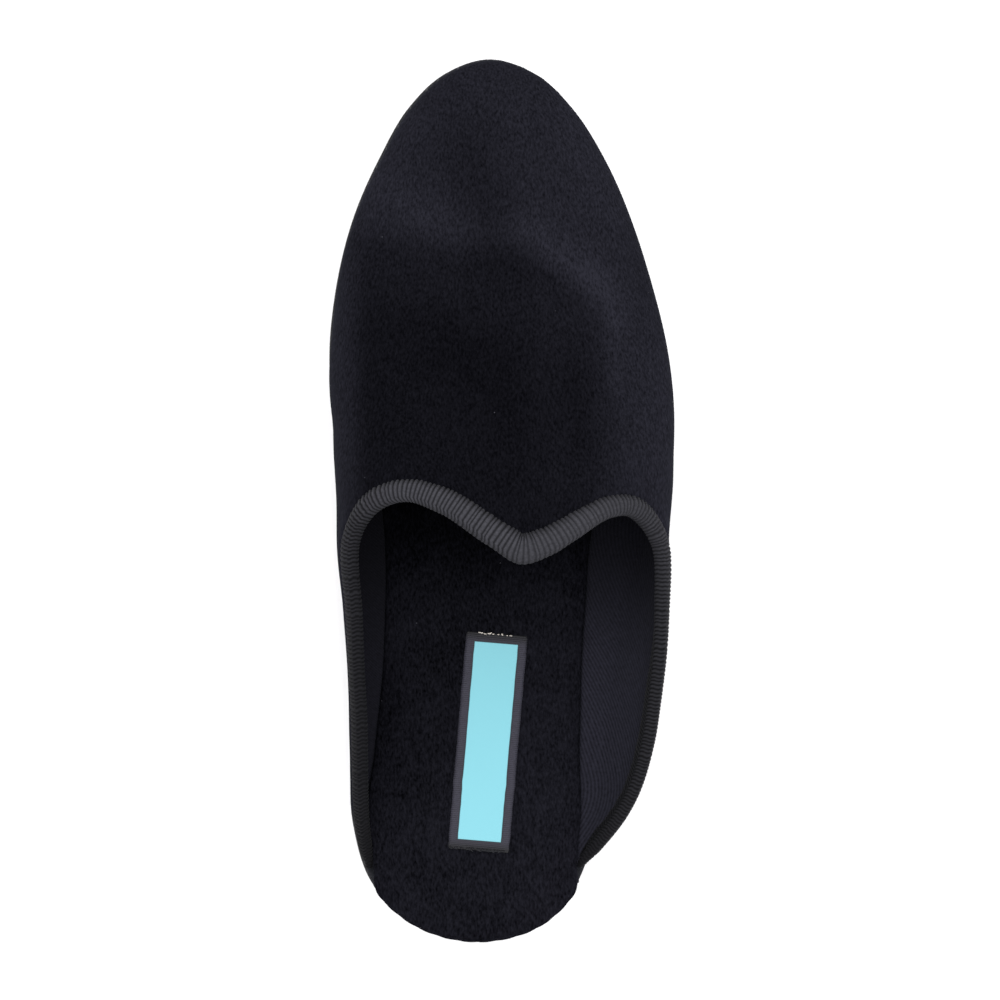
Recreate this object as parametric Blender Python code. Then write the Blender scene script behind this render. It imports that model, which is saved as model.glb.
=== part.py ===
"""A backless velvet slipper for the right foot: rubber outsole, cloth-wrapped midsole, padded insole, hollow
upper with a V throat, folded edge binding and a woven label. Metres; +Y is the toe, +X the little-toe side,
+Z up; the origin is the middle of the slipper's box on the floor."""

import bpy
import numpy as np

# Driving sizes
SOLE_LENGTH = 0.250
BALL_WIDTH = 0.0912
HEEL_WIDTH = 0.0700
OUTSOLE_THICKNESS = 0.0040
MIDSOLE_THICKNESS = 0.0057
INSOLE_THICKNESS = 0.0040
TOE_SPRING = 0.0042
WAIST_LIFT = 0.0015
THROAT_RISE = 0.0517
UPPER_WALL = 0.0025
EDGE_STEP = 0.0024
MIDSOLE_TUCK = 0.0006
INSOLE_HEEL_MARGIN = 0.0012
BINDING_DEPTH = 0.0062
TAPE_THICKNESS = 0.0008
LABEL_WIDTH = 0.0175
LABEL_LENGTH = 0.0620
LABEL_THICKNESS = 0.0006
FIT_GAP = 0.0003

# Places along the sole, as shares of its length from the heel
WING_END = 0.083
HEEL_FLAT_END = 0.27
WAIST_END = 0.57
FOREFOOT_FLAT_END = 0.71
HEEL_WIDTH_ENDS = 0.25
BALL_WIDTH_STARTS = 0.62
LABEL_MIDDLE = 0.225
LABEL_OFF_AXIS = -0.046
LABEL_TURN_DEG = -4.9

# Shares that shape the parts: how steeply the toe spring sets in, where the insole widens behind the wings as
# shares of their end, the most of a low wall that the binding takes, and the binding's shoulders and crest as
# shares of what it folds over
TOE_SPRING_POWER = 1.8
INSOLE_WIDE_SHARE = 0.60
INSOLE_FITTED_SHARE = 0.95
BINDING_LIMIT_SHARE = 0.55
SHOULDER_SHARE = 0.9
CREST_SHARE = 1.2

# How finely the surfaces are divided
SOLE_STATIONS = 40
OUTLINE_STEPS = 1440
UPPER_STATIONS = 96
WALL_ROWS = 9
BAND_ROWS = 2
LABEL_STATIONS = 10
MEASURE_STEPS = 80
SEAM_OVERLAP = 3
SLOPE_STEP = 0.0005
CREST_STEP = 0.02
SHARP_ANGLE_DEG = 40.0

# The sole's outline: place from the heel as a share of its length, and how far the inner and the outer side
# lie from the axis as shares of the width there. The first and last rows are the heel's and the toe's points.
OUTLINE_COLUMNS = ("at", "inner", "outer")
OUTLINE = (
    (0.000, -0.103, -0.103),
    (0.020, -0.355, 0.175),
    (0.060, -0.510, 0.314),
    (0.130, -0.594, 0.389),
    (0.220, -0.600, 0.400),
    (0.320, -0.561, 0.408),
    (0.420, -0.506, 0.419),
    (0.500, -0.490, 0.444),
    (0.570, -0.506, 0.460),
    (0.650, -0.529, 0.471),
    (0.740, -0.509, 0.452),
    (0.820, -0.455, 0.400),
    (0.890, -0.371, 0.323),
    (0.945, -0.283, 0.228),
    (0.982, -0.177, 0.120),
    (1.000, -0.035, -0.035),
)

# The upper, one row for each section line from the inner wing round the toe to the outer wing. strip: place
# along the upper. foot: place along the sole's edge. top_x, top_y: the top edge, as shares of the width there
# and of the length. top_z: its height above the sole as a share of THROAT_RISE. The other lengths are shares
# of THROAT_RISE too: bulge and rise lead the line out and up from its foot, swell and drop lead it out and
# down from its top, and reach is how far that second lead goes from the top back towards the foot, as a share.
UPPER_COLUMNS = (
    "strip", "foot", "top_x", "top_y", "top_z", "bulge", "rise", "reach", "swell", "drop",
)
UPPER = (
    (0.000, 0.000, -0.537, 0.083, 0.100, 0.010, 0.030, 0.30, 0.010, 0.030),
    (0.050, 0.034, -0.560, 0.150, 0.270, 0.050, 0.090, 0.30, 0.064, 0.090),
    (0.104, 0.073, -0.569, 0.228, 0.420, 0.077, 0.135, 0.30, 0.080, 0.135),
    (0.155, 0.110, -0.572, 0.304, 0.516, 0.122, 0.155, 0.30, 0.090, 0.174),
    (0.207, 0.148, -0.547, 0.378, 0.594, 0.162, 0.174, 0.30, 0.116, 0.193),
    (0.263, 0.195, -0.512, 0.454, 0.690, 0.180, 0.193, 0.35, 0.150, 0.213),
    (0.306, 0.245, -0.439, 0.488, 0.778, 0.135, 0.213, 0.65, 0.125, 0.232),
    (0.350, 0.300, -0.331, 0.503, 0.884, 0.130, 0.232, 0.62, 0.035, 0.270),
    (0.400, 0.360, -0.209, 0.490, 0.942, 0.178, 0.270, 0.58, 0.030, 0.370),
    (0.460, 0.430, -0.061, 0.456, 0.980, 0.226, 0.330, 0.57, 0.023, 0.480),
    (0.512, 0.500, 0.046, 0.436, 1.000, 0.280, 0.370, 0.58, 0.020, 0.540),
    (0.556, 0.560, 0.150, 0.446, 0.971, 0.228, 0.330, 0.57, 0.040, 0.480),
    (0.594, 0.610, 0.222, 0.460, 0.932, 0.178, 0.290, 0.57, 0.077, 0.410),
    (0.656, 0.690, 0.350, 0.485, 0.826, 0.240, 0.250, 0.65, 0.155, 0.290),
    (0.700, 0.745, 0.431, 0.482, 0.729, 0.270, 0.213, 0.65, 0.220, 0.232),
    (0.745, 0.800, 0.524, 0.448, 0.660, 0.260, 0.193, 0.35, 0.175, 0.213),
    (0.790, 0.845, 0.574, 0.386, 0.594, 0.250, 0.155, 0.30, 0.140, 0.213),
    (0.846, 0.885, 0.608, 0.307, 0.507, 0.193, 0.120, 0.30, 0.110, 0.174),
    (0.900, 0.926, 0.584, 0.226, 0.410, 0.155, 0.100, 0.30, 0.095, 0.155),
    (0.960, 0.967, 0.480, 0.144, 0.275, 0.095, 0.080, 0.30, 0.058, 0.116),
    (1.000, 1.000, 0.344, 0.083, 0.100, 0.020, 0.030, 0.30, 0.016, 0.030),
)

# The side of each sole layer from its underside up: how far it is drawn in, and its height, as shares of the
# layer's thickness
SIDE_COLUMNS = ("drawn_in", "height")
OUTSOLE_SIDE = ((0.35, 0.0), (0.08, 0.22), (0.0, 0.50), (0.0, 0.85), (0.06, 1.0))
MIDSOLE_SIDE = ((0.22, 0.0), (0.05, 0.18), (0.0, 0.42), (0.03, 0.68), (0.14, 0.90), (0.32, 1.0))
INSOLE_SIDE = ((0.10, 0.0), (0.0, 0.30), (0.06, 0.68), (0.20, 0.90), (0.45, 1.0))

# Finishes: colour, roughness
FINISHES = {
    "outsole": ((0.012, 0.012, 0.013), 0.62),
    "midsole": ((0.020, 0.020, 0.024), 0.90),
    "insole": ((0.008, 0.008, 0.011), 0.95),
    "upper": ((0.010, 0.010, 0.015), 0.92),
    "binding": ((0.050, 0.051, 0.058), 0.85),
    "label": ((0.430, 0.690, 0.690), 0.80),
}


def column(table, columns, name):
    """One named column of a table as an array."""
    return np.array([row[columns.index(name)] for row in table])


def through(knots, values, at):
    """A smooth curve through the rows: cubic pieces whose slope at a row follows its two neighbours."""
    slopes = np.gradient(values, knots, axis=0)
    left = np.clip(np.searchsorted(knots, at, side="right") - 1, 0, len(knots) - 2)
    step = knots[left + 1] - knots[left]
    r = (at - knots[left]) / step
    r, step = (a.reshape(a.shape + (1,) * (values.ndim - 1)) for a in (r, step))
    start, end = values[left], values[left + 1]
    lead = start * (2 * r**3 - 3 * r**2 + 1) + end * (3 * r**2 - 2 * r**3)
    return lead + step * (slopes[left] * (r**3 - 2 * r**2 + r) + slopes[left + 1] * (r**3 - r**2))


def ease(value, low, high):
    """0 below low, 1 above high, and a smooth step between them."""
    t = np.clip((value - low) / (high - low), 0.0, 1.0)
    return t * t * (3.0 - 2.0 * t)


def width_at(share):
    """The width that the tables' sideways shares belong to, from the heel's to the ball's."""
    return HEEL_WIDTH + (BALL_WIDTH - HEEL_WIDTH) * ease(share, HEEL_WIDTH_ENDS, BALL_WIDTH_STARTS)


def y_of(share):
    return (share - 0.5) * SOLE_LENGTH


def share_of(y):
    return y / SOLE_LENGTH + 0.5


def lift(y):
    """How far the sole is raised: flat heel and forefoot, a low arch between, and the toe spring."""
    share = share_of(y)
    waist = np.clip((share - HEEL_FLAT_END) / (WAIST_END - HEEL_FLAT_END), 0.0, 1.0)
    toe = np.clip((share - FOREFOOT_FLAT_END) / (1.0 - FOREFOOT_FLAT_END), 0.0, None)
    return WAIST_LIFT * np.sin(np.pi * waist) ** 2 + TOE_SPRING * toe**TOE_SPRING_POWER


MIDSOLE_BASE = OUTSOLE_THICKNESS + FIT_GAP
SOLE_TOP = MIDSOLE_BASE + MIDSOLE_THICKNESS
INSOLE_BASE = SOLE_TOP + FIT_GAP
INSOLE_TOP = INSOLE_BASE + INSOLE_THICKNESS


def outline_curve():
    """The closed outline from the heel's point up the inner side, round the toe and down the outer side."""
    at, inner, outer = (column(OUTLINE, OUTLINE_COLUMNS, name) for name in OUTLINE_COLUMNS)
    xs = np.concatenate([inner * width_at(at), (outer * width_at(at))[-2:0:-1]])
    ys = np.concatenate([y_of(at), y_of(at)[-2:0:-1]])
    points = np.stack([xs, ys], axis=1)
    wrapped = np.concatenate([points[-SEAM_OVERLAP:], points, points[: SEAM_OVERLAP + 1]])
    knots = np.concatenate([[0.0], np.cumsum(np.linalg.norm(np.diff(wrapped, axis=0), axis=1))])
    walk = np.linspace(knots[SEAM_OVERLAP], knots[-2], OUTLINE_STEPS, endpoint=False)
    return through(knots, wrapped, walk)


def loop_normals(loop):
    """Outward directions of a closed loop that runs clockwise seen from above."""
    along = np.roll(loop, -1, axis=0) - np.roll(loop, 1, axis=0)
    along /= np.linalg.norm(along, axis=1, keepdims=True)
    return np.stack([-along[:, 1], along[:, 0]], axis=1)


def sole_loop():
    """The outline as pairs of points that face each other at the same place along the sole."""
    curve = outline_curve()
    toe = int(np.argmax(curve[:, 1]))
    heel = int(np.argmin(curve[:, 1]))
    curve = np.roll(curve, -heel, axis=0)
    toe = (toe - heel) % len(curve)
    inner = curve[: toe + 1]
    outer = np.concatenate([curve[toe:], curve[:1]])[::-1]
    swing = 0.5 - 0.5 * np.cos(np.linspace(0.0, np.pi, SOLE_STATIONS + 1))
    ys = inner[0, 1] + (inner[-1, 1] - inner[0, 1]) * swing
    inner_x = np.interp(ys, inner[:, 1], inner[:, 0])
    outer_x = np.interp(ys, outer[:, 1], outer[:, 0])
    inner_side = np.stack([inner_x, ys], axis=1)
    outer_side = np.stack([outer_x, ys], axis=1)[-2:0:-1]
    return np.concatenate([inner_side, outer_side])


def upper_edge(share):
    """Points along the sole's edge that the upper covers, from the inner wing's end (0) round the toe to the
    outer wing's end (1), with the outward direction at each."""
    curve = outline_curve()
    curve = np.roll(curve, -int(np.argmin(curve[:, 1])), axis=0)
    covered = np.nonzero(curve[:, 1] >= y_of(WING_END))[0]
    path = curve[covered[0] : covered[-1] + 1]
    normals = loop_normals(curve)[covered[0] : covered[-1] + 1]
    run = np.concatenate([[0.0], np.cumsum(np.linalg.norm(np.diff(path, axis=0), axis=1))])
    along = share * run[-1]
    point = np.stack([np.interp(along, run, path[:, i]) for i in range(2)], axis=-1)
    out = np.stack([np.interp(along, run, normals[:, i]) for i in range(2)], axis=-1)
    return point, out / np.linalg.norm(out, axis=-1, keepdims=True)


def section_leads(strip):
    """The four leading points of each section line of the upper's outer face."""
    knots = column(UPPER, UPPER_COLUMNS, "strip")
    rows = np.array(UPPER)
    values = dict(zip(UPPER_COLUMNS, np.moveaxis(through(knots, rows, strip), -1, 0)))
    edge, out = upper_edge(np.clip(values["foot"], 0.0, 1.0))
    foot_xy = edge - out * EDGE_STEP
    foot_z = INSOLE_BASE + lift(foot_xy[..., 1])
    top_x = values["top_x"] * width_at(values["top_y"])
    top_xy = np.stack([top_x, y_of(values["top_y"])], axis=-1)
    top_z = INSOLE_BASE + values["top_z"] * THROAT_RISE
    low_xy = foot_xy + out * (values["bulge"] * THROAT_RISE)[..., None]
    low_z = foot_z + values["rise"] * THROAT_RISE
    swell = out * (values["swell"] * THROAT_RISE)[..., None]
    high_xy = top_xy + values["reach"][..., None] * (foot_xy - top_xy) + swell
    high_z = top_z - values["drop"] * THROAT_RISE
    pairs = ((foot_xy, foot_z), (low_xy, low_z), (high_xy, high_z), (top_xy, top_z))
    return [np.concatenate([xy, z[..., None]], axis=-1) for xy, z in pairs]


def outer_face(strip, up):
    """The upper's outer face: up runs along each section line from its foot (0) to the top edge (1)."""
    foot, low, high, top = section_leads(strip)
    u = up[..., None]
    v = 1.0 - u
    return foot * v**3 + 3.0 * low * v**2 * u + 3.0 * high * v * u**2 + top * u**3


def face_normals(strip, up):
    """Outward normals of the outer face, from its slopes along and up."""
    ahead, behind = np.minimum(strip + SLOPE_STEP, 1.0), np.maximum(strip - SLOPE_STEP, 0.0)
    above, below = np.minimum(up + SLOPE_STEP, 1.0), np.maximum(up - SLOPE_STEP, 0.0)
    along = outer_face(ahead, up) - outer_face(behind, up)
    upward = outer_face(strip, above) - outer_face(strip, below)
    normal = np.cross(upward, along)
    return normal / np.linalg.norm(normal, axis=-1, keepdims=True)


def rows_up(strip):
    """The rows that the upper and its binding share: even ones up to the binding's edge, then finer ones."""
    fine = np.linspace(0.0, 1.0, MEASURE_STEPS + 1)
    grid = outer_face(*np.broadcast_arrays(strip[:, None], fine[None, :]))
    steps = np.linalg.norm(np.diff(grid, axis=1), axis=2)
    run = np.concatenate([np.zeros((len(strip), 1)), np.cumsum(steps, axis=1)], axis=1)
    depth = np.minimum(BINDING_DEPTH, BINDING_LIMIT_SHARE * run[:, -1])
    start = np.array([np.interp(r[-1] - d, r, fine) for r, d in zip(run, depth)])
    body = start[:, None] * np.linspace(0.0, 1.0, WALL_ROWS + 1)[None, :]
    band = start[:, None] + (1.0 - start)[:, None] * np.linspace(0.0, 1.0, BAND_ROWS + 1)[None, 1:]
    return np.concatenate([body, band], axis=1)


def grid_faces(rows, columns, first, flip):
    """Quads between neighbouring points of a grid, numbered row by row from first."""
    r, c = np.meshgrid(np.arange(rows - 1), np.arange(columns - 1), indexing="ij")
    a = first + r * columns + c
    quads = np.stack([a, a + 1, a + columns + 1, a + columns], axis=-1).reshape(-1, 4)
    return quads[:, ::-1] if flip else quads


def triangles(points, quads):
    """Each quad cut along its shorter diagonal."""
    p = points[quads]
    first = np.linalg.norm(p[:, 0] - p[:, 2], axis=1) <= np.linalg.norm(p[:, 1] - p[:, 3], axis=1)
    one = np.where(first[:, None], quads[:, [0, 1, 2]], quads[:, [0, 1, 3]])
    two = np.where(first[:, None], quads[:, [0, 2, 3]], quads[:, [1, 2, 3]])
    return np.concatenate([one, two])


def finish(name):
    """The piece's own plain material."""
    colour, roughness = FINISHES[name]
    material = bpy.data.materials.new(name)
    material.use_nodes = True
    shader = material.node_tree.nodes["Principled BSDF"]
    shader.inputs["Base Color"].default_value = (*colour, 1.0)
    shader.inputs["Roughness"].default_value = roughness
    shader.inputs["Metallic"].default_value = 0.0
    return material


def add_piece(name, points, faces, collection):
    """One named object from its points and faces, shaded smooth apart from its sharp edges."""
    mesh = bpy.data.meshes.new(name)
    mesh.from_pydata(points.tolist(), [], [list(face) for face in faces])
    mesh.validate()
    mesh.shade_smooth()
    mesh.set_sharp_from_angle(angle=np.radians(SHARP_ANGLE_DEG))
    mesh.materials.append(finish(name))
    piece = bpy.data.objects.new(name, mesh)
    collection.objects.link(piece)
    return piece


def layer(name, side, thickness, base, margin, collection):
    """One layer of the sole: its side carried round the outline, closed above and below by cross strips."""
    loop = sole_loop()
    normals = loop_normals(loop)
    count = len(loop)
    rings = []
    for drawn_in, height in zip(*(column(side, SIDE_COLUMNS, name) for name in SIDE_COLUMNS)):
        xy = loop - normals * (margin + drawn_in * thickness)[:, None]
        z = base + height * thickness + lift(xy[:, 1])
        rings.append(np.column_stack([xy, z]))
    points = np.concatenate(rings)
    sides = grid_faces(len(side), count + 1, 0, True)
    sides = (sides // (count + 1)) * count + (sides % (count + 1)) % count
    half = count // 2
    near = np.arange(1, half - 1)
    strips = np.stack([near, near + 1, count - near - 1, count - near], axis=1)
    ends = np.array([[0, 1, count - 1], [half, half + 1, half - 1]])
    top = (len(side) - 1) * count
    caps = np.concatenate([triangles(points, strips), ends])
    faces = np.concatenate([triangles(points, sides), caps, caps[:, ::-1] + top])
    return add_piece(name, points, faces, collection)


def make_outsole(collection):
    margin = np.zeros(2 * SOLE_STATIONS)
    return layer("outsole", OUTSOLE_SIDE, OUTSOLE_THICKNESS, 0.0, margin, collection)


def make_midsole(collection):
    margin = np.full(2 * SOLE_STATIONS, MIDSOLE_TUCK)
    return layer("midsole", MIDSOLE_SIDE, MIDSOLE_THICKNESS, MIDSOLE_BASE, margin, collection)


def make_insole(collection):
    """The pad fits inside the upper and its binding, and runs out to the sole's edge at the open heel."""
    inside = EDGE_STEP + UPPER_WALL + TAPE_THICKNESS + 2.0 * FIT_GAP
    share = share_of(sole_loop()[:, 1])
    fitted = ease(share, INSOLE_WIDE_SHARE * WING_END, INSOLE_FITTED_SHARE * WING_END)
    margin = INSOLE_HEEL_MARGIN + (inside - INSOLE_HEEL_MARGIN) * fitted
    return layer("insole", INSOLE_SIDE, INSOLE_THICKNESS, INSOLE_BASE, margin, collection)


def make_upper(collection):
    """One hollow wall: the outer face, the same face drawn in by the wall, and the rims that join them."""
    strip = np.linspace(0.0, 1.0, UPPER_STATIONS + 1)
    up = rows_up(strip)
    strip = np.broadcast_to(strip[:, None], up.shape)
    outer = outer_face(strip, up)
    normals = face_normals(strip, up)
    inner = outer - normals * UPPER_WALL
    flat = normals[:, 0] * np.array([1.0, 1.0, 0.0])
    flat /= np.linalg.norm(flat, axis=1, keepdims=True)
    inner[:, 0] = outer[:, 0] - flat * UPPER_WALL
    stations, rows = up.shape
    points = np.concatenate([outer.reshape(-1, 3), inner.reshape(-1, 3)])
    shift = stations * rows
    faces = [grid_faces(stations, rows, 0, False), grid_faces(stations, rows, shift, True)]
    number = np.arange(shift).reshape(stations, rows)
    for rim, flip in ((number[:, 0], False), (number[:, -1], True), (number[0], True), (number[-1], False)):
        quads = np.stack([rim[:-1], rim[1:], rim[1:] + shift, rim[:-1] + shift], axis=1)
        faces.append(quads[:, ::-1] if flip else quads)
    return add_piece("upper", points, triangles(points, np.concatenate(faces)), collection)


def fold(face, normals, crest, clear):
    """One skin of the folded tape, clear of the wall by a distance: up the outer side, over the edge and down
    the inner side."""
    out = normals[:, -1]
    middle = face[:, -1] - out * (UPPER_WALL / 2.0)
    shoulder = out * (UPPER_WALL / 2.0) * SHOULDER_SHARE
    outer_leg = [face[:, i] + normals[:, i] * clear for i in range(BAND_ROWS + 1)]
    inner_leg = [face[:, i] - normals[:, i] * (UPPER_WALL + clear) for i in range(BAND_ROWS, -1, -1)]
    rise = crest * clear
    over = [middle + shoulder + rise, middle + rise * CREST_SHARE, middle - shoulder + rise]
    return outer_leg + over + inner_leg


def make_binding(collection):
    """A tape folded over the top edge, FIT_GAP clear of the wall, carried along on the upper's own rows."""
    strip = np.linspace(0.0, 1.0, UPPER_STATIONS + 1)
    up = rows_up(strip)[:, -(BAND_ROWS + 1) :]
    strip = np.broadcast_to(strip[:, None], up.shape)
    face = outer_face(strip, up)
    normals = face_normals(strip, up)
    crest = face[:, -1] - outer_face(strip[:, -1], np.full(len(strip), 1.0 - CREST_STEP))
    crest /= np.linalg.norm(crest, axis=1, keepdims=True)
    skins = fold(face, normals, crest, FIT_GAP + TAPE_THICKNESS)
    skins += fold(face, normals, crest, FIT_GAP)[::-1]
    points = np.stack(skins, axis=1)
    stations, count = points.shape[:2]
    points = points.reshape(-1, 3)
    quads = grid_faces(stations, count + 1, 0, False)
    quads = (quads // (count + 1)) * count + (quads % (count + 1)) % count
    near = np.arange(count // 2 - 1)
    cap = np.stack([near, near + 1, count - near - 2, count - near - 1], axis=1)
    last = (stations - 1) * count
    faces = np.concatenate([quads, cap[:, ::-1], cap + last])
    return add_piece("binding", points, triangles(points, faces), collection)


def make_label(collection):
    """A thin strip that follows the insole's top."""
    turn = np.radians(LABEL_TURN_DEG)
    along = np.array([-np.sin(turn), np.cos(turn)])
    across = np.array([np.cos(turn), np.sin(turn)])
    middle = np.array([LABEL_OFF_AXIS * HEEL_WIDTH, y_of(LABEL_MIDDLE)])
    steps = np.linspace(-0.5, 0.5, LABEL_STATIONS + 1) * LABEL_LENGTH
    line = middle + steps[:, None] * along
    sides = [line + across * (side * LABEL_WIDTH / 2.0) for side in (-1.0, 1.0)]
    corners = []
    for xy, height in ((sides[0], 0.0), (sides[1], 0.0), (sides[1], 1.0), (sides[0], 1.0)):
        z = INSOLE_TOP + FIT_GAP + height * LABEL_THICKNESS + lift(xy[:, 1])
        corners.append(np.column_stack([xy, z]))
    points = np.stack(corners, axis=1).reshape(-1, 3)
    quads = grid_faces(LABEL_STATIONS + 1, 5, 0, True)
    quads = (quads // 5) * 4 + (quads % 5) % 4
    last = LABEL_STATIONS * 4
    caps = np.array([[0, 1, 2, 3], [last + 3, last + 2, last + 1, last]])
    return add_piece("label", points, triangles(points, np.concatenate([quads, caps])), collection)


def centre(pieces):
    """Move the meshes together so that the slipper's box stands centred on the origin."""
    corners = np.array([vertex.co for piece in pieces for vertex in piece.data.vertices])
    middle = (corners.min(axis=0) + corners.max(axis=0)) / 2.0
    for piece in pieces:
        for vertex in piece.data.vertices:
            vertex.co.x -= middle[0]
            vertex.co.y -= middle[1]


def main():
    for old in list(bpy.data.objects):
        bpy.data.objects.remove(old, do_unlink=True)
    collection = bpy.data.collections.new("velvet_slipper")
    bpy.context.scene.collection.children.link(collection)
    makers = (make_outsole, make_midsole, make_insole, make_upper, make_binding, make_label)
    centre([make(collection) for make in makers])


main()
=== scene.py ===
"""The finish of a backless velvet slipper for the right foot: hand-stitched velvet upper with a twill
lining, ribbed edge tape, padded velvet insole with a woven label, cloth-wrapped midsole and a black rubber
outsole.

Every surface is a grid of points worked out from two parameters. Metres; +Y is the toe, +X the little-toe
side, +Z up."""

import math

import bmesh
import bpy
import numpy as np
from mathutils import Matrix, Vector


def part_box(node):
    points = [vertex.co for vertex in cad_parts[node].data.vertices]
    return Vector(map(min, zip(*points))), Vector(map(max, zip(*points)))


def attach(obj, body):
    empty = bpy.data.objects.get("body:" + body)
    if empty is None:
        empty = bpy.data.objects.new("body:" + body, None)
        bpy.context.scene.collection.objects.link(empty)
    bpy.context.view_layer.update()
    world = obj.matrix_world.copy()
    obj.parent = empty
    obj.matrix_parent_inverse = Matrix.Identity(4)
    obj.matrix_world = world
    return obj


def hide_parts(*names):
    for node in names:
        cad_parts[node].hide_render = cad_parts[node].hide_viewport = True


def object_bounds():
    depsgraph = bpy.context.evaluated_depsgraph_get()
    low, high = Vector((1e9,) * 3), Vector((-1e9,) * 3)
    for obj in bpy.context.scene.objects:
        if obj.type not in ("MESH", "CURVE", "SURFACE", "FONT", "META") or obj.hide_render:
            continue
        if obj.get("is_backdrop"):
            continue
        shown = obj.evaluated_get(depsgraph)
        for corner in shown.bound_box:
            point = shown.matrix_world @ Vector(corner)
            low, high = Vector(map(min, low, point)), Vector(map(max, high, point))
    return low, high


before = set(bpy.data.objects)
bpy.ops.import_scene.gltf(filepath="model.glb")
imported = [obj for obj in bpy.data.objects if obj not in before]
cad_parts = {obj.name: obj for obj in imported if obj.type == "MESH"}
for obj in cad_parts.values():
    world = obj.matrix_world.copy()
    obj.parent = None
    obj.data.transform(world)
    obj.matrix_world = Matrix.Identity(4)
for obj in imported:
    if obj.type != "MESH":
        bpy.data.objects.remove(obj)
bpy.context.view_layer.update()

# Sizes read from the frame
SOLE_LOW, SOLE_HIGH = (np.array(corner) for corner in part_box("outsole"))
SOLE_LENGTH = SOLE_HIGH[1] - SOLE_LOW[1]
BALL_WIDTH = SOLE_HIGH[0] - SOLE_LOW[0]

# Sizes of the construction, in metres
HEEL_WIDTH = 0.0700
OUTSOLE_THICKNESS = 0.0040
MIDSOLE_THICKNESS = 0.0057
INSOLE_THICKNESS = 0.0040
TOE_SPRING = 0.0042
WAIST_LIFT = 0.0015
THROAT_RISE = 0.0517
UPPER_WALL = 0.0025
EDGE_STEP = 0.0024
FIT_GAP = 0.0003
MIDSOLE_BASE = OUTSOLE_THICKNESS + FIT_GAP
SOLE_TOP = MIDSOLE_BASE + MIDSOLE_THICKNESS
INSOLE_BASE = SOLE_TOP + FIT_GAP
INSOLE_TOP = INSOLE_BASE + INSOLE_THICKNESS

# Places along the sole, as shares of its length from the heel
WING_END = 0.083
HEEL_FLAT_END = 0.27
WAIST_END = 0.57
FOREFOOT_FLAT_END = 0.71
HEEL_WIDTH_ENDS = 0.25
BALL_WIDTH_STARTS = 0.62

# Sewing and cloth, in metres
TOP_WALL = 0.0014
TAPE_THICKNESS = 0.0007
TAPE_CREST_SHARE = 0.55
TAPE_ROLL = 0.0009
RIB_PITCH = 0.0015
RIB_HEIGHT = 0.00032
SCALLOP_PITCH = 0.0028
SCALLOP_DEPTH = 0.00050
UNEVEN_EDGE = 0.00010
UNEVEN_CORDS = 0.00022
CORD_BEND = 0.00036
CORD_BEND_LENGTH = 0.0025
CORD_BEAD_LENGTH = 0.0013
STITCH_PITCH = 0.0063
THREAD_RADIUS = 0.00034

# How deep the cloth is worked, and how far a stitch or a pucker reaches into it, in metres
STITCH_PULL = 0.00055
STITCH_REACH = 0.0022
PUCKER = 0.00022
PUCKER_REACH = 0.0016
TAPE_SWELL = 0.00025
UPPER_WAVES = 0.00018
BRUSHED_CREST = 0.0003
BOARD_PINCH = 0.00045
BOARD_FULLNESS = 0.00010
BOARD_DIP = 0.0004
INSOLE_PINCH = 0.00015
HEEL_PRINT = 0.00055
BALL_PRINT = 0.00045
INSOLE_ROLLS = 0.00012
INSOLE_RIM = 0.00035

# The label on the insole, in metres; its middle is a share of the sole's length, off the axis by a share of
# the heel's width
LABEL_WIDTH = 0.0174
LABEL_LENGTH = 0.0615
LABEL_THICKNESS = 0.0006
LABEL_MIDDLE = 0.226
LABEL_OFF_AXIS = -0.052
LABEL_TURN = math.radians(-4.9)
LABEL_BAR_HALF_WIDTH = 0.0061
LABEL_BAR_HALF_LENGTH = 0.0280
LABEL_BAR_OFFSET = 0.0001
LABEL_RIB_PITCH = 0.00055
LABEL_WAVES = 0.00012
LABEL_FRAY = 0.006

# The tread of the underside, in metres
TREAD_PITCH = 0.0042
TREAD_DEPTH = 0.0006
ZIGZAG_LENGTH = 0.016

# How many profiles are set along the upper and along its tape
UPPER_PROFILES = 560
TAPE_PROFILES = 2300

# How wide the tape lies on the outer side at places along the upper (strip), in millimetres, how much
# light is painted onto its cords there, and how many of them lie in one RIB_PITCH. The arms of the V
# are stretched open and face up, so they get painted light; the steep sides and the ends that dip into
# the seam get painted shade. Round the corners the cords crowd together.
TAPE_COLUMNS = ("strip", "width", "light", "cords")
TAPE_PLACES = (
    (0.000, 2.0, 0.08, 1.27),
    (0.050, 3.3, 0.18, 1.25),
    (0.104, 4.2, 0.21, 1.24),
    (0.200, 4.8, 0.29, 1.27),
    (0.280, 4.9, 0.48, 1.30),
    (0.320, 4.8, 0.80, 1.18),
    (0.350, 5.0, 0.98, 1.38),
    (0.400, 6.2, 1.00, 1.34),
    (0.460, 6.7, 1.00, 1.06),
    (0.512, 7.3, 1.00, 0.92),
    (0.560, 6.7, 1.00, 1.00),
    (0.610, 5.9, 1.00, 1.10),
    (0.660, 5.0, 0.90, 1.40),
    (0.720, 4.7, 0.74, 1.45),
    (0.800, 4.6, 0.54, 1.25),
    (0.900, 4.0, 0.46, 1.38),
    (0.960, 3.2, 0.36, 1.36),
    (1.000, 2.0, 0.12, 1.27),
)

# How much farther in the insole's edge and the lining's foot lie than the wall's own foot, in
# millimetres, at places along the sole (shares from the heel) on the inner and the outer side
PAD_COLUMNS = ("at", "inner", "outer")
PAD_PLACES = (
    (0.000, 0.0, 0.0),
    (0.070, 0.0, 0.0),
    (0.126, 0.3, 1.3),
    (0.212, 3.0, 2.2),
    (0.297, 3.8, 2.7),
    (0.382, 4.0, 4.2),
    (0.468, 4.7, 6.8),
    (0.560, 4.9, 6.6),
    (0.750, 4.0, 4.5),
    (1.000, 2.0, 2.0),
)

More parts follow.
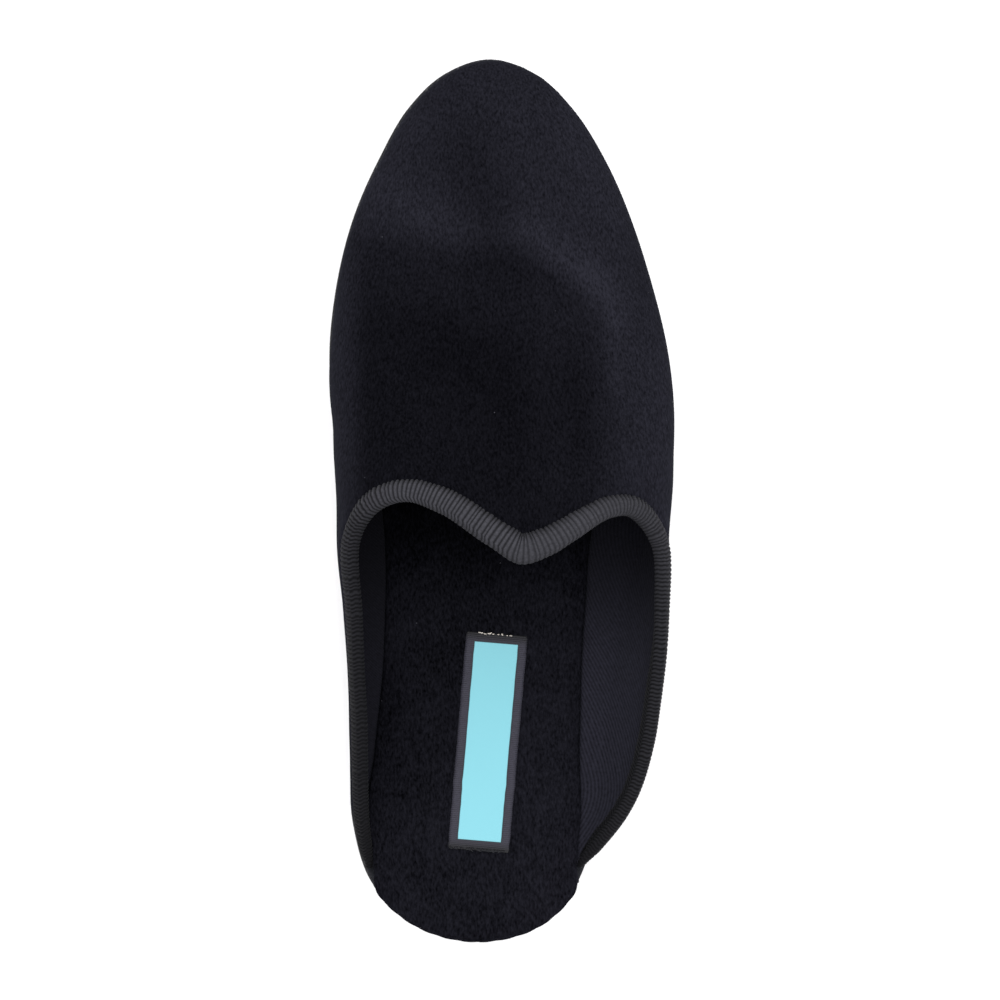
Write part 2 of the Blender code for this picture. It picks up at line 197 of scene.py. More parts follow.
# The sole's outline, and the upper's section lines, with the same named columns and rows as the solids.
# Only here the cloth hugs the sole's edge a little closer at the toe, and the wings' ends dip into the
# seam.
OUTLINE_COLUMNS = ("at", "inner", "outer")
OUTLINE = (
    (0.000, -0.103, -0.103),
    (0.020, -0.355, 0.175),
    (0.060, -0.510, 0.314),
    (0.130, -0.594, 0.389),
    (0.220, -0.600, 0.400),
    (0.320, -0.561, 0.408),
    (0.420, -0.506, 0.419),
    (0.500, -0.490, 0.444),
    (0.570, -0.506, 0.460),
    (0.650, -0.529, 0.471),
    (0.740, -0.509, 0.452),
    (0.820, -0.455, 0.400),
    (0.890, -0.371, 0.323),
    (0.945, -0.283, 0.228),
    (0.982, -0.177, 0.120),
    (1.000, -0.035, -0.035),
)
UPPER_COLUMNS = (
    "strip", "foot", "top_x", "top_y", "top_z", "bulge", "rise", "reach", "swell", "drop",
)
UPPER = (
    (0.000, 0.000, -0.537, 0.083, 0.035, 0.010, 0.030, 0.30, 0.010, 0.030),
    (0.050, 0.034, -0.560, 0.150, 0.270, 0.050, 0.090, 0.30, 0.064, 0.090),
    (0.104, 0.073, -0.569, 0.228, 0.420, 0.077, 0.135, 0.30, 0.080, 0.135),
    (0.155, 0.110, -0.572, 0.304, 0.516, 0.122, 0.155, 0.30, 0.090, 0.174),
    (0.207, 0.148, -0.547, 0.378, 0.594, 0.162, 0.174, 0.30, 0.116, 0.193),
    (0.263, 0.195, -0.512, 0.454, 0.690, 0.180, 0.193, 0.35, 0.150, 0.213),
    (0.306, 0.245, -0.439, 0.488, 0.778, 0.150, 0.213, 0.65, 0.125, 0.232),
    (0.350, 0.300, -0.331, 0.503, 0.884, 0.135, 0.232, 0.62, 0.035, 0.270),
    (0.400, 0.360, -0.209, 0.490, 0.942, 0.180, 0.270, 0.58, 0.030, 0.370),
    (0.460, 0.430, -0.061, 0.456, 0.980, 0.190, 0.330, 0.57, 0.023, 0.480),
    (0.512, 0.500, 0.046, 0.436, 1.000, 0.205, 0.370, 0.58, 0.020, 0.540),
    (0.556, 0.560, 0.150, 0.446, 0.971, 0.180, 0.330, 0.57, 0.040, 0.480),
    (0.594, 0.610, 0.222, 0.460, 0.932, 0.178, 0.290, 0.57, 0.077, 0.410),
    (0.656, 0.690, 0.350, 0.485, 0.826, 0.240, 0.250, 0.65, 0.155, 0.290),
    (0.700, 0.745, 0.431, 0.482, 0.729, 0.270, 0.213, 0.65, 0.220, 0.232),
    (0.745, 0.800, 0.524, 0.448, 0.660, 0.260, 0.193, 0.35, 0.175, 0.213),
    (0.790, 0.845, 0.574, 0.386, 0.594, 0.250, 0.155, 0.30, 0.140, 0.213),
    (0.846, 0.885, 0.608, 0.307, 0.507, 0.193, 0.120, 0.30, 0.110, 0.174),
    (0.900, 0.926, 0.584, 0.226, 0.410, 0.155, 0.100, 0.30, 0.095, 0.155),
    (0.960, 0.967, 0.480, 0.144, 0.275, 0.095, 0.080, 0.30, 0.058, 0.116),
    (1.000, 1.000, 0.322, 0.083, 0.035, 0.020, 0.030, 0.30, 0.016, 0.030),
)


def column(table, columns, name):
    """One named column of a table as an array."""
    return np.array([row[columns.index(name)] for row in table])


def through(knots, values, at):
    """Smooth curve through rows. Between rows a and b, h apart, r runs from 0 to 1 and the curve is
    a(2r^3-3r^2+1) + b(3r^2-2r^3) + h(m0(r^3-2r^2+r) + m1(r^3-r^2)); m0 and m1 follow the chords."""
    slopes = np.gradient(values, knots, axis=0)
    left = np.clip(np.searchsorted(knots, at, side="right") - 1, 0, len(knots) - 2)
    step = knots[left + 1] - knots[left]
    r = (at - knots[left]) / step
    r, step = (a.reshape(a.shape + (1,) * (values.ndim - 1)) for a in (r, step))
    start, end = values[left], values[left + 1]
    lead = start * (2 * r**3 - 3 * r**2 + 1) + end * (3 * r**2 - 2 * r**3)
    return lead + step * (slopes[left] * (r**3 - 2 * r**2 + r) + slopes[left + 1] * (r**3 - r**2))


def ease(value, low, high):
    """0 below low, 1 above high, and 3t^2 - 2t^3 between them."""
    t = np.clip((value - low) / (high - low), 0.0, 1.0)
    return t * t * (3.0 - 2.0 * t)


def hump(value, middle, width):
    """A soft bump exp(-((value - middle) / width)^2)."""
    return np.exp(-(((value - middle) / width) ** 2))


def unit(vectors):
    """The vectors brought to length 1."""
    return vectors / np.linalg.norm(vectors, axis=-1, keepdims=True)


def distance(points):
    """The distance run along a path of points, 0 at the first."""
    return np.concatenate([[0.0], np.cumsum(np.linalg.norm(np.diff(points, axis=0), axis=1))])


def at_places(where, knots, points):
    """Points of a path at places between its knots, in straight steps, column by column."""
    return np.stack([np.interp(where, knots, points[:, i]) for i in range(points.shape[1])], axis=-1)


def plan_mm(points):
    """Where points lie in plan: x and y in millimetres."""
    return points[..., 0] * 1000.0, points[..., 1] * 1000.0


def with_height(xy, z):
    """Points from their places in plan and their heights."""
    return np.concatenate([xy, z[..., None]], axis=-1)


def width_at(share):
    """The sole's width that sideways shares belong to: the heel's, easing into the ball's."""
    return HEEL_WIDTH + (BALL_WIDTH - HEEL_WIDTH) * ease(share, HEEL_WIDTH_ENDS, BALL_WIDTH_STARTS)


def raw_outline():
    """The closed outline through the table's points, before it is set in the frame: up the inner side,
    round the toe and down the outer side."""
    at, inner, outer = (column(OUTLINE, OUTLINE_COLUMNS, name) for name in OUTLINE_COLUMNS)
    ys = (at - 0.5) * SOLE_LENGTH
    xs = np.concatenate([inner * width_at(at), (outer * width_at(at))[-2:0:-1]])
    points = np.stack([xs, np.concatenate([ys, ys[-2:0:-1]])], axis=1)
    lead = 3
    wrapped = np.concatenate([points[-lead:], points, points[: lead + 1]])
    knots = distance(wrapped)
    walk = np.linspace(knots[lead], knots[-2], 7200, endpoint=False)
    return through(knots, wrapped, walk)


def set_in_frame():
    """The outline rolled to start at the heel's point, and the shift that brings it onto the frame's
    sole."""
    curve = raw_outline()
    curve = np.roll(curve, -int(np.argmin(curve[:, 1])), axis=0)
    own = (curve.min(axis=0) + curve.max(axis=0)) / 2.0
    shift = ((SOLE_LOW + SOLE_HIGH) / 2.0)[:2] - own
    return curve + shift, shift


CURVE, SHIFT = set_in_frame()


def share_of(y):
    """A place along the sole as a share of its length from the heel."""
    return (y - SHIFT[1]) / SOLE_LENGTH + 0.5


def lift(y):
    """How far the sole is raised: flat heel and forefoot, the waist W sin^2(pi t) between them, and at
    the toe the spring S t^1.8."""
    share = share_of(y)
    waist = np.clip((share - HEEL_FLAT_END) / (WAIST_END - HEEL_FLAT_END), 0.0, 1.0)
    toe = np.clip((share - FOREFOOT_FLAT_END) / (1.0 - FOREFOOT_FLAT_END), 0.0, None)
    return WAIST_LIFT * np.sin(np.pi * waist) ** 2 + TOE_SPRING * toe**1.8


def loop_normals(loop):
    """Outward directions of a closed loop that runs clockwise from above: its tangent, turned left."""
    along = unit(np.roll(loop, -1, axis=0) - np.roll(loop, 1, axis=0))
    return np.stack([-along[:, 1], along[:, 0]], axis=1)


def upper_edge(share):
    """Points of the sole's edge under the upper, from the inner wing's end (0) round the toe to the outer
    wing's end (1), with the outward direction at each."""
    covered = np.nonzero(CURVE[:, 1] >= (WING_END - 0.5) * SOLE_LENGTH + SHIFT[1])[0]
    path = CURVE[covered[0] : covered[-1] + 1]
    normals = loop_normals(CURVE)[covered[0] : covered[-1] + 1]
    run = distance(path)
    along = share * run[-1]
    return at_places(along, run, path), unit(at_places(along, run, normals))


def outer_face(strip, up):
    """The upper's outer face: each section line is the cubic F v^3 + 3 L v^2 u + 3 H v u^2 + T u^3 with v
    = 1 - u, from its foot F on the sole, led out and up by L, to its top T, approached over H."""
    knots = column(UPPER, UPPER_COLUMNS, "strip")
    rows = np.array(UPPER)
    values = dict(zip(UPPER_COLUMNS, np.moveaxis(through(knots, rows, strip), -1, 0)))
    edge, out = upper_edge(np.clip(values["foot"], 0.0, 1.0))
    foot_xy = edge - out * EDGE_STEP
    foot_z = INSOLE_BASE + lift(foot_xy[..., 1])
    top_x = values["top_x"] * width_at(values["top_y"]) + SHIFT[0]
    top_xy = np.stack([top_x, (values["top_y"] - 0.5) * SOLE_LENGTH + SHIFT[1]], axis=-1)
    top_z = INSOLE_BASE + values["top_z"] * THROAT_RISE
    low_xy = foot_xy + out * (values["bulge"] * THROAT_RISE)[..., None]
    low_z = foot_z + values["rise"] * THROAT_RISE
    swell = out * (values["swell"] * THROAT_RISE)[..., None]
    high_xy = top_xy + values["reach"][..., None] * (foot_xy - top_xy) + swell
    high_z = top_z - values["drop"] * THROAT_RISE
    pairs = ((foot_xy, foot_z), (low_xy, low_z), (high_xy, high_z), (top_xy, top_z))
    foot, low, high, top = (with_height(xy, z) for xy, z in pairs)
    u = up[..., None]
    v = 1.0 - u
    return foot * v**3 + 3.0 * low * v**2 * u + 3.0 * high * v * u**2 + top * u**3


def face_normals(strip, up):
    """Outward normals of the outer face: its slope upward crossed with its slope along."""
    nudge = 0.0005
    along = outer_face(np.minimum(strip + nudge, 1.0), up) - outer_face(np.maximum(strip - nudge, 0.0), up)
    upward = outer_face(strip, np.minimum(up + nudge, 1.0)) - outer_face(strip, np.maximum(up - nudge, 0.0))
    return unit(np.cross(upward, along))


def wall_at(up):
    """The wall's thickness: full over most of its height, thinner where the tape is folded over its top."""
    return UPPER_WALL + (TOP_WALL - UPPER_WALL) * ease(up, 0.30, 0.90)


def tape_at(strip):
    """The tape's width on the outer side, in metres, the painted light on it, which also stands for how
    stretched it is, and how close its cords lie, at places along the upper."""
    knots, width, light, cords = (column(TAPE_PLACES, TAPE_COLUMNS, name) for name in TAPE_COLUMNS)
    seen, close = through(knots, width, strip) / 1000.0, through(knots, cords, strip)
    return seen, np.interp(strip, knots, light), close


def pad_draw(x, y):
    """How far in of the wall's foot the insole's edge lies, in metres, at points near the sole's edge."""
    knots, inner, outer = (column(PAD_PLACES, PAD_COLUMNS, name) for name in PAD_COLUMNS)
    share = np.clip(share_of(y), 0.0, 1.0)
    side = ease(x - SHIFT[0], -0.012, 0.012)
    return (through(knots, inner, share) * (1.0 - side) + through(knots, outer, share) * side) / 1000.0


def even_strip(count, at_up):
    """Strip values whose points on one level of the face lie at even distances."""
    fine = np.linspace(0.0, 1.0, 4001)
    run = distance(outer_face(fine, np.full_like(fine, at_up)))
    return np.interp(np.linspace(0.0, run[-1], count), run, fine)


# Meshes from grids


def build(name, points, quads, uv=None, attributes=None):
    """A mesh object from points and quads, its seams and poles merged, shaded smooth. uv and attributes
    hold one row for each point, in grids of the same order."""
    mesh = bpy.data.meshes.new(name)
    points = points.reshape(-1, 3)
    mesh.vertices.add(len(points))
    mesh.vertices.foreach_set("co", points.astype(np.float32).ravel())
    mesh.loops.add(quads.size)
    mesh.loops.foreach_set("vertex_index", quads.astype(np.int32).ravel())
    mesh.polygons.add(len(quads))
    mesh.polygons.foreach_set("loop_start", np.arange(0, quads.size, 4, dtype=np.int32))
    mesh.update(calc_edges=True)
    if uv is not None:
        layer = mesh.uv_layers.new(name="cloth")
        layer.data.foreach_set("uv", uv.reshape(-1, 2)[quads.ravel()].astype(np.float32).ravel())
    for key, values in (attributes or {}).items():
        made = mesh.attributes.new(key, "FLOAT", "POINT")
        made.data.foreach_set("value", values.astype(np.float32).ravel())
    work = bmesh.new()
    work.from_mesh(mesh)
    bmesh.ops.remove_doubles(work, verts=work.verts, dist=1e-7)
    bmesh.ops.dissolve_degenerate(work, edges=work.edges, dist=1e-8)
    work.to_mesh(mesh)
    work.free()
    mesh.polygons.foreach_set("use_smooth", np.ones(len(mesh.polygons), dtype=bool))
    piece = bpy.data.objects.new(name, mesh)
    bpy.context.scene.collection.objects.link(piece)
    return piece


def grid_quads(rows, columns, round_columns=False, flip=False):
    """Quads between the neighbours of a grid, row by row; round_columns closes each row onto its own
    start."""
    wide = columns if round_columns else columns - 1
    r, c = np.meshgrid(np.arange(rows - 1), np.arange(wide), indexing="ij")
    near, far = r * columns, (r + 1) * columns
    after = (c + 1) % columns
    quads = np.stack([near + c, near + after, far + after, far + c], axis=-1).reshape(-1, 4)
    return quads[:, ::-1] if flip else quads


def carried(name, rings, uv=None, attributes=None):
    """A closed profile carried along a path: rings[i, j] is point j of the profile at place i. Each end is
    closed by a strip between its two halves."""
    places, count = rings.shape[:2]
    half = count // 2
    near = np.arange(half - 1)
    cap = np.stack([near, near + 1, count - near - 2, count - near - 1], axis=1)
    skin = grid_quads(places, count, round_columns=True)
    quads = np.concatenate([skin, cap[:, ::-1], cap + (places - 1) * count])
    return build(name, rings, quads, uv, attributes)


# Materials

MATERIALS = {}


def linear(colour):
    """An sRGB hex colour as linear red, green, blue and alpha."""
    parts = np.array([int(colour[i : i + 2], 16) for i in (1, 3, 5)]) / 255.0
    parts = np.where(parts <= 0.04045, parts / 12.92, ((parts + 0.055) / 1.055) ** 2.4)
    return (*parts.tolist(), 1.0)


def new_material(name):
    """An empty material: its node tree, and the piece's own coordinates for its patterns."""
    material = bpy.data.materials.new(name)
    material.use_nodes = True
    material.node_tree.nodes.clear()
    MATERIALS[name] = material
    tree = material.node_tree
    return tree, add(tree, "TexCoord", {}, "Object")


def add(tree, kind, inputs, out=0, **settings):
    """Adds one shader node with its settings and gives back one of its outputs. inputs fills its sockets
    with numbers, hex colours or other nodes' outputs."""
    made = tree.nodes.new("ShaderNode" + kind)
    for key, value in settings.items():
        setattr(made, key, value)
    for key, value in inputs.items():
        if isinstance(value, bpy.types.NodeSocket):
            tree.links.new(value, made.inputs[key])
        else:
            made.inputs[key].default_value = linear(value) if isinstance(value, str) else value
    return made.outputs[out] if len(made.outputs) else None


def surface(tree, colour, raised, depth, strength, gloss):
    """Ends a material: its colour, a pattern raised by depth metres, and the roughness, sheen and gloss."""
    bump = add(tree, "Bump", {"Height": raised, "Distance": depth, "Strength": strength})
    shader = add(tree, "BsdfPrincipled", {"Base Color": colour, "Normal": bump, **gloss})
    add(tree, "OutputMaterial", {"Surface": shader})


def velvet(name, dark, light, mottle):
    """Cotton velvet, woven with a short cut pile: almost black where the pile is looked into, paler and
    bluish where it lies over, with short slanting tufts 0.6 mm wide (a little coarser than real, so that
    they show), blotches of wear as strong as mottle and a few specks of lint. The paler places come from an
    attribute that holds the pile's lie together with painted sheen and painted shade; the material's own
    sheen is weak."""
    tree, place = new_material(name)
    slanted = add(tree, "Mapping", {
        "Vector": place, "Rotation": (0.0, 0.0, math.radians(38.0)), "Scale": (1.0, 0.45, 1.0)})
    tufts = add(tree, "TexNoise", {
        "Vector": slanted, "Scale": 1.0 / 0.0006, "Detail": 2.0, "Roughness": 0.6})
    blots = add(tree, "TexNoise", {
        "Vector": place, "Scale": 1.0 / 0.0045, "Detail": 3.0, "Roughness": 0.6})
    clouds = add(tree, "TexNoise", {"Vector": place, "Scale": 1.0 / 0.022, "Detail": 2.0})
    nap_and_painted_light = add(tree, "Attribute", {}, "Fac", attribute_name="nap_and_painted_light")
    # the attribute (pile's lie, painted sheen and painted shade) + mottle (blots + clouds - 1) + tufts,
    # stronger where the pile is pale
    wear_and_painted_light = add(tree, "Math", {0: blots, 1: mottle, 2: -mottle}, operation="MULTIPLY_ADD")
    wear_and_painted_light = add(tree, "Math", {0: clouds, 1: mottle, 2: wear_and_painted_light}, operation="MULTIPLY_ADD")
    wear_and_painted_light = add(tree, "Math", {0: nap_and_painted_light, 1: wear_and_painted_light}, operation="ADD")
    depth = add(tree, "Math", {0: nap_and_painted_light, 1: 1.8, 2: 0.28}, operation="MULTIPLY_ADD")
    shake = add(tree, "Math", {0: tufts, 1: 1.3, 2: -0.65}, operation="MULTIPLY_ADD")
    lean = add(tree, "Math", {0: shake, 1: depth, 2: wear_and_painted_light}, operation="MULTIPLY_ADD")
    pile = add(tree, "Mix", {"Factor": lean, 6: dark, 7: light}, 2, data_type="RGBA")
    cells = add(tree, "TexVoronoi", {"Vector": place, "Scale": 1.0 / 0.007}, "Distance")
    lint = add(tree, "MapRange", {
        "Value": cells, "From Min": 0.016, "From Max": 0.030, "To Min": 0.6, "To Max": 0.0})
    cloth = add(tree, "Mix", {"Factor": lint, 6: pile, 7: "#4A4A50"}, 2, data_type="RGBA")
    surface(tree, cloth, tufts, 0.00025, 0.7, {
        "Roughness": 1.0, "IOR": 1.45, "Specular IOR Level": 0.01,
        "Sheen Weight": 0.015, "Sheen Roughness": 0.35, "Sheen Tint": "#C9D2EA"})


def twill(name):
    """Navy-black cotton twill, woven with slanting ridges 0.8 mm apart (drawn a little coarser than the
    real weave so that they show). Its darker places are painted shade, read from the same attribute as the
    velvet's pale places."""
    tree, place = new_material(name)
    pitch = 0.0008
    cloth = add(tree, "UVMap", {}, "UV", uv_map="cloth")
    # The slanting bands' phase is 10 (x + y) times the scale
    ridge = add(tree, "TexWave", {
        "Vector": cloth, "Scale": 2.0 * math.pi / (10.0 * math.sqrt(2.0) * pitch), "Distortion": 0.7,
        "Detail": 2.0, "Detail Scale": 0.6}, "Fac", bands_direction="DIAGONAL")
    fibre = add(tree, "TexNoise", {"Vector": place, "Scale": 1.0 / 0.0009, "Detail": 3.0})
    painted_shade = add(tree, "Attribute", {}, "Fac", attribute_name="nap_and_painted_light")
    tone = add(tree, "Math", {0: ridge, 1: 0.45, 2: fibre}, operation="MULTIPLY_ADD")
    pale = add(tree, "Math", {0: tone, 1: painted_shade}, operation="MULTIPLY")
    colour = add(tree, "Mix", {"Factor": pale, 6: "#040406", 7: "#1F1F27"}, 2, data_type="RGBA")
    surface(tree, colour, tone, 0.00012, 0.7, {
        "Roughness": 0.9, "Specular IOR Level": 0.04, "Sheen Weight": 0.012, "Sheen Roughness": 0.5})


def ribbed_tape(name):
    """Charcoal grosgrain tape, woven with thick weft cords. The cords are real ridges; the light and shade
    on them are painted from the tone attribute: a painted highlight on each cord's back, painted shade in
    the grooves and at both edges of the roll, and more painted light on the V's arms than on the sides.
    This adds the short fibres."""
    tree, place = new_material(name)
    tone = add(tree, "Attribute", {}, "Fac", attribute_name="tone")
    fibre = add(tree, "TexNoise", {"Vector": place, "Scale": 1.0 / 0.0006, "Detail": 3.0})
    lit = add(tree, "Math", {0: fibre, 1: 1.1, 2: 0.45}, operation="MULTIPLY_ADD")
    lit = add(tree, "Math", {0: lit, 1: tone}, operation="MULTIPLY")
    colour = add(tree, "Mix", {"Factor": lit, 6: "#060608", 7: "#38383D"}, 2, data_type="RGBA")
    surface(tree, colour, fibre, 0.00015, 0.8, {
        "Roughness": 0.8, "Specular IOR Level": 0.06, "Sheen Weight": 0.02, "Sheen Roughness": 0.4})


def wrapped_cloth(name):
    """Black wool-felt cloth pulled round the board of the midsole: matt, with a short felted grain."""
    tree, place = new_material(name)
    felt = add(tree, "TexNoise", {"Vector": place, "Scale": 1.0 / 0.0007, "Detail": 4.0, "Roughness": 0.65})
    colour = add(tree, "Mix", {"Factor": felt, 6: "#050506", 7: "#26272C"}, 2, data_type="RGBA")
    surface(tree, colour, felt, 0.00035, 0.8, {
        "Roughness": 0.95, "Specular IOR Level": 0.03, "Sheen Weight": 0.02, "Sheen Roughness": 0.4})


def sewing_thread(name, dark, light, gloss):
    """Twisted linen or polyester thread, its twist seen as a fine change of tone."""
    tree, place = new_material(name)
    fibre = add(tree, "TexNoise", {"Vector": place, "Scale": 1.0 / 0.0004, "Detail": 2.0})
    colour = add(tree, "Mix", {"Factor": fibre, 6: dark, 7: light}, 2, data_type="RGBA")
    surface(tree, colour, fibre, 0.00015, 0.7, {"Roughness": 0.6, "Specular IOR Level": gloss})


def tyre_rubber(name):
    """Vulcanised black rubber, moulded, matt with a dusty bloom in its grain."""
    tree, place = new_material(name)
    bloom = add(tree, "TexNoise", {"Vector": place, "Scale": 1.0 / 0.006, "Detail": 4.0, "Roughness": 0.6})
    pores = add(tree, "TexNoise", {"Vector": place, "Scale": 1.0 / 0.0008, "Detail": 2.0})
    colour = add(tree, "Mix", {"Factor": bloom, 6: "#08080A", 7: "#222225"}, 2, data_type="RGBA")
    rough = add(tree, "Math", {0: bloom, 1: 0.4, 2: 0.45}, operation="MULTIPLY_ADD")
    surface(tree, colour, pores, 0.0001, 0.5, {"Roughness": rough, "IOR": 1.52, "Specular IOR Level": 0.2})


def woven_label(name):
    """Satin-woven polyester label, a pale teal bar inside a slate border with ribs across it, 0.55 mm
    apart; a dark line runs round the bar where the two weaves meet."""
    tree, place = new_material(name)
    cloth = add(tree, "UVMap", {}, "UV", uv_map="cloth")
    across = add(tree, "SeparateXYZ", {"Vector": cloth}, "X")
    along = add(tree, "SeparateXYZ", {"Vector": cloth}, "Y")
    # outside: how far a place lies past the bar's sides or ends
    wide = add(tree, "Math", {0: across}, operation="ABSOLUTE")
    wide = add(tree, "Math", {0: wide, 1: LABEL_BAR_HALF_WIDTH}, operation="SUBTRACT")
    long = add(tree, "Math", {0: along, 1: LABEL_BAR_OFFSET}, operation="SUBTRACT")
    long = add(tree, "Math", {0: long}, operation="ABSOLUTE")
    long = add(tree, "Math", {0: long, 1: LABEL_BAR_HALF_LENGTH}, operation="SUBTRACT")
    outside = add(tree, "Math", {0: wide, 1: long}, operation="MAXIMUM")
    # The straight bands' phase is 20 y times the scale
    ribs = add(tree, "TexWave", {
        "Vector": cloth, "Scale": 2.0 * math.pi / (20.0 * LABEL_RIB_PITCH), "Distortion": 1.2, "Detail": 2.0,
        "Detail Scale": 0.5}, "Fac", bands_direction="Y")
    fibre = add(tree, "TexNoise", {"Vector": place, "Scale": 1.0 / 0.0009, "Detail": 3.0, "Roughness": 0.6})
    tone = add(tree, "Math", {0: ribs, 1: 0.6, 2: fibre}, operation="MULTIPLY_ADD")
    border = add(tree, "Mix", {"Factor": tone, 6: "#0B0A0F", 7: "#2C2B36"}, 2, data_type="RGBA")
    # The turned-in ends are darker, with a rough edge to the shade
    end = add(tree, "Math", {0: along}, operation="ABSOLUTE")
    end = add(tree, "Math", {0: fibre, 1: 0.0020, 2: end}, operation="MULTIPLY_ADD")
    end = add(tree, "MapRange", {"Value": end, "From Min": 0.0288, "From Max": 0.0312})
    border = add(tree, "Mix", {"Factor": end, 6: border, 7: "#131317"}, 2, data_type="RGBA")
    # The teal is a little darker towards the label's toe end
    teal_shift = add(tree, "MapRange", {"Value": along, "From Min": 0.027, "From Max": -0.020})
    teal_shift = add(tree, "Math", {0: fibre, 1: 0.25, 2: teal_shift}, operation="MULTIPLY_ADD")
    teal = add(tree, "Mix", {"Factor": teal_shift, 6: "#69A3AD", 7: "#6CA7B2"}, 2, data_type="RGBA")
    rim = add(tree, "MapRange", {"Value": outside, "From Min": 0.0001, "From Max": 0.0006})
    ringed = add(tree, "Mix", {"Factor": rim, 6: "#15171D", 7: border}, 2, data_type="RGBA")
    edge = add(tree, "MapRange", {"Value": outside, "From Min": -0.0001, "From Max": 0.0001})
    colour = add(tree, "Mix", {"Factor": edge, 6: teal, 7: ringed}, 2, data_type="RGBA")
    height = add(tree, "Math", {0: ribs, 1: rim}, operation="MULTIPLY")
    surface(tree, colour, height, 0.00012, 0.8, {
        "Roughness": 0.65, "Specular IOR Level": 0.25, "Sheen Weight": 0.03})


def studio_floor(name):
    """Smooth white-painted board."""
    tree, _ = new_material(name)
    shader = add(tree, "BsdfPrincipled", {
        "Base Color": "#F4F4F5", "Roughness": 0.9, "Specular IOR Level": 0.1})
    add(tree, "OutputMaterial", {"Surface": shader})


# The upper

# Soft creases in the velvet, in millimetres: two ends, how deep, how wide. Negative is a ridge.
CREASES = (
    (-44.0, 22.0, -22.0, 34.0, 0.35, 5.0),
    (-40.0, 40.0, -18.0, 48.0, -0.25, 7.0),
    (44.0, 14.0, 24.0, 30.0, 0.35, 6.0),
    (46.0, -2.0, 36.0, 16.0, -0.25, 6.0),
    (-10.0, 62.0, 18.0, 56.0, 0.30, 9.0),
    (-45.0, -18.0, -42.0, -44.0, 0.20, 6.0),
)

# The vamp is darker in a field that ends in this curved front edge, in millimetres: partly the pile
# pressed flat, partly painted shade where the vamp faces straight up and shows no sheen.
PRESSED_AND_SHADED_FRONT = (
    (-42.0, 77.0), (-26.0, 74.0), (-12.0, 72.0), (7.0, 71.0), (17.0, 63.0), (28.0, 54.0), (34.0, 46.0),
)
PRESSED_AND_SHADED_SIDES = (-40.5, 29.5)

# Streaks where the pile lies over and looks paler, in millimetres: two ends, how much paler, how wide.
# Negative is darker.
NAP_STREAKS = (
    (-32.0, 86.0, -13.0, 75.0, 0.10, 5.5),
    (7.0, 75.0, 26.0, 61.0, 0.20, 5.0),
    (25.0, 62.0, 31.0, 51.0, 0.16, 4.0),
    (30.0, 52.0, 31.0, 32.0, 0.14, 2.5),
    (-9.0, 95.0, -4.0, 77.0, -0.21, 10.5),
    (20.0, 108.0, 30.0, 84.0, 0.12, 7.0),
    (-30.0, 108.0, -36.0, 90.0, 0.08, 6.0),
    (44.0, 34.0, 47.0, -10.0, 0.14, 7.0),
    (-20.0, 50.0, 0.0, 30.0, -0.04, 12.0),
    (10.0, 44.0, 14.0, 6.0, 0.07, 7.0),
)


def soft_lines(rows, x, y):
    """Sum of soft lines: each is amount * exp(-(distance to it / width)^2), fading past its two ends."""
    total = np.zeros_like(x)
    for x0, y0, x1, y1, amount, width in rows:
        along = np.array([x1 - x0, y1 - y0])
        length = np.linalg.norm(along)
        along = along / length
        run = (x - x0) * along[0] + (y - y0) * along[1]
        off = (y - y0) * along[0] - (x - x0) * along[1]
        past = np.maximum(np.maximum(-run, run - length), 0.0)
        total += amount * np.exp(-((off / width) ** 2) - (past / (1.5 * width)) ** 2)
    return total


def nap_of(x, y, up):
    """How pale the velvet is: paler everywhere but in the field on the vamp, which is partly pile pressed
    flat and partly painted shade where the vamp faces straight up; soft streaks where the pile lies over;
    and a paler foot, which is painted sheen where the wall faces outward."""
    front = np.array(PRESSED_AND_SHADED_FRONT)
    ahead = y - np.interp(x, front[:, 0], front[:, 1])
    # Painted shade, partly pressed pile: darker in the field where the vamp faces straight up
    pressed = 0.65 * (1.0 - ease(ahead, -7.0, 3.0)) + 0.35 * (1.0 - ease(ahead, -32.0, -8.0))
    pressed *= ease(x, PRESSED_AND_SHADED_SIDES[0] - 6.0, PRESSED_AND_SHADED_SIDES[0] + 4.0)
    pressed *= 1.0 - ease(x, PRESSED_AND_SHADED_SIDES[1] - 12.0, PRESSED_AND_SHADED_SIDES[1] + 8.0)
    # The streaks are the pile's lie; the last term is painted sheen on the foot, which faces outward
    total = 0.52 - 0.39 * pressed + soft_lines(NAP_STREAKS, x, y) + 0.06 * hump(up, 0.0, 0.12)
    return np.clip(total, 0.0, 1.0)


def sewn_pull(run, pitch, sharp=2.0):
    """0 between stitches and 1 at each, at even distances: |cos(pi run / pitch)|^(2 sharp)."""
    return np.abs(np.cos(np.pi * run / pitch)) ** (2.0 * sharp)


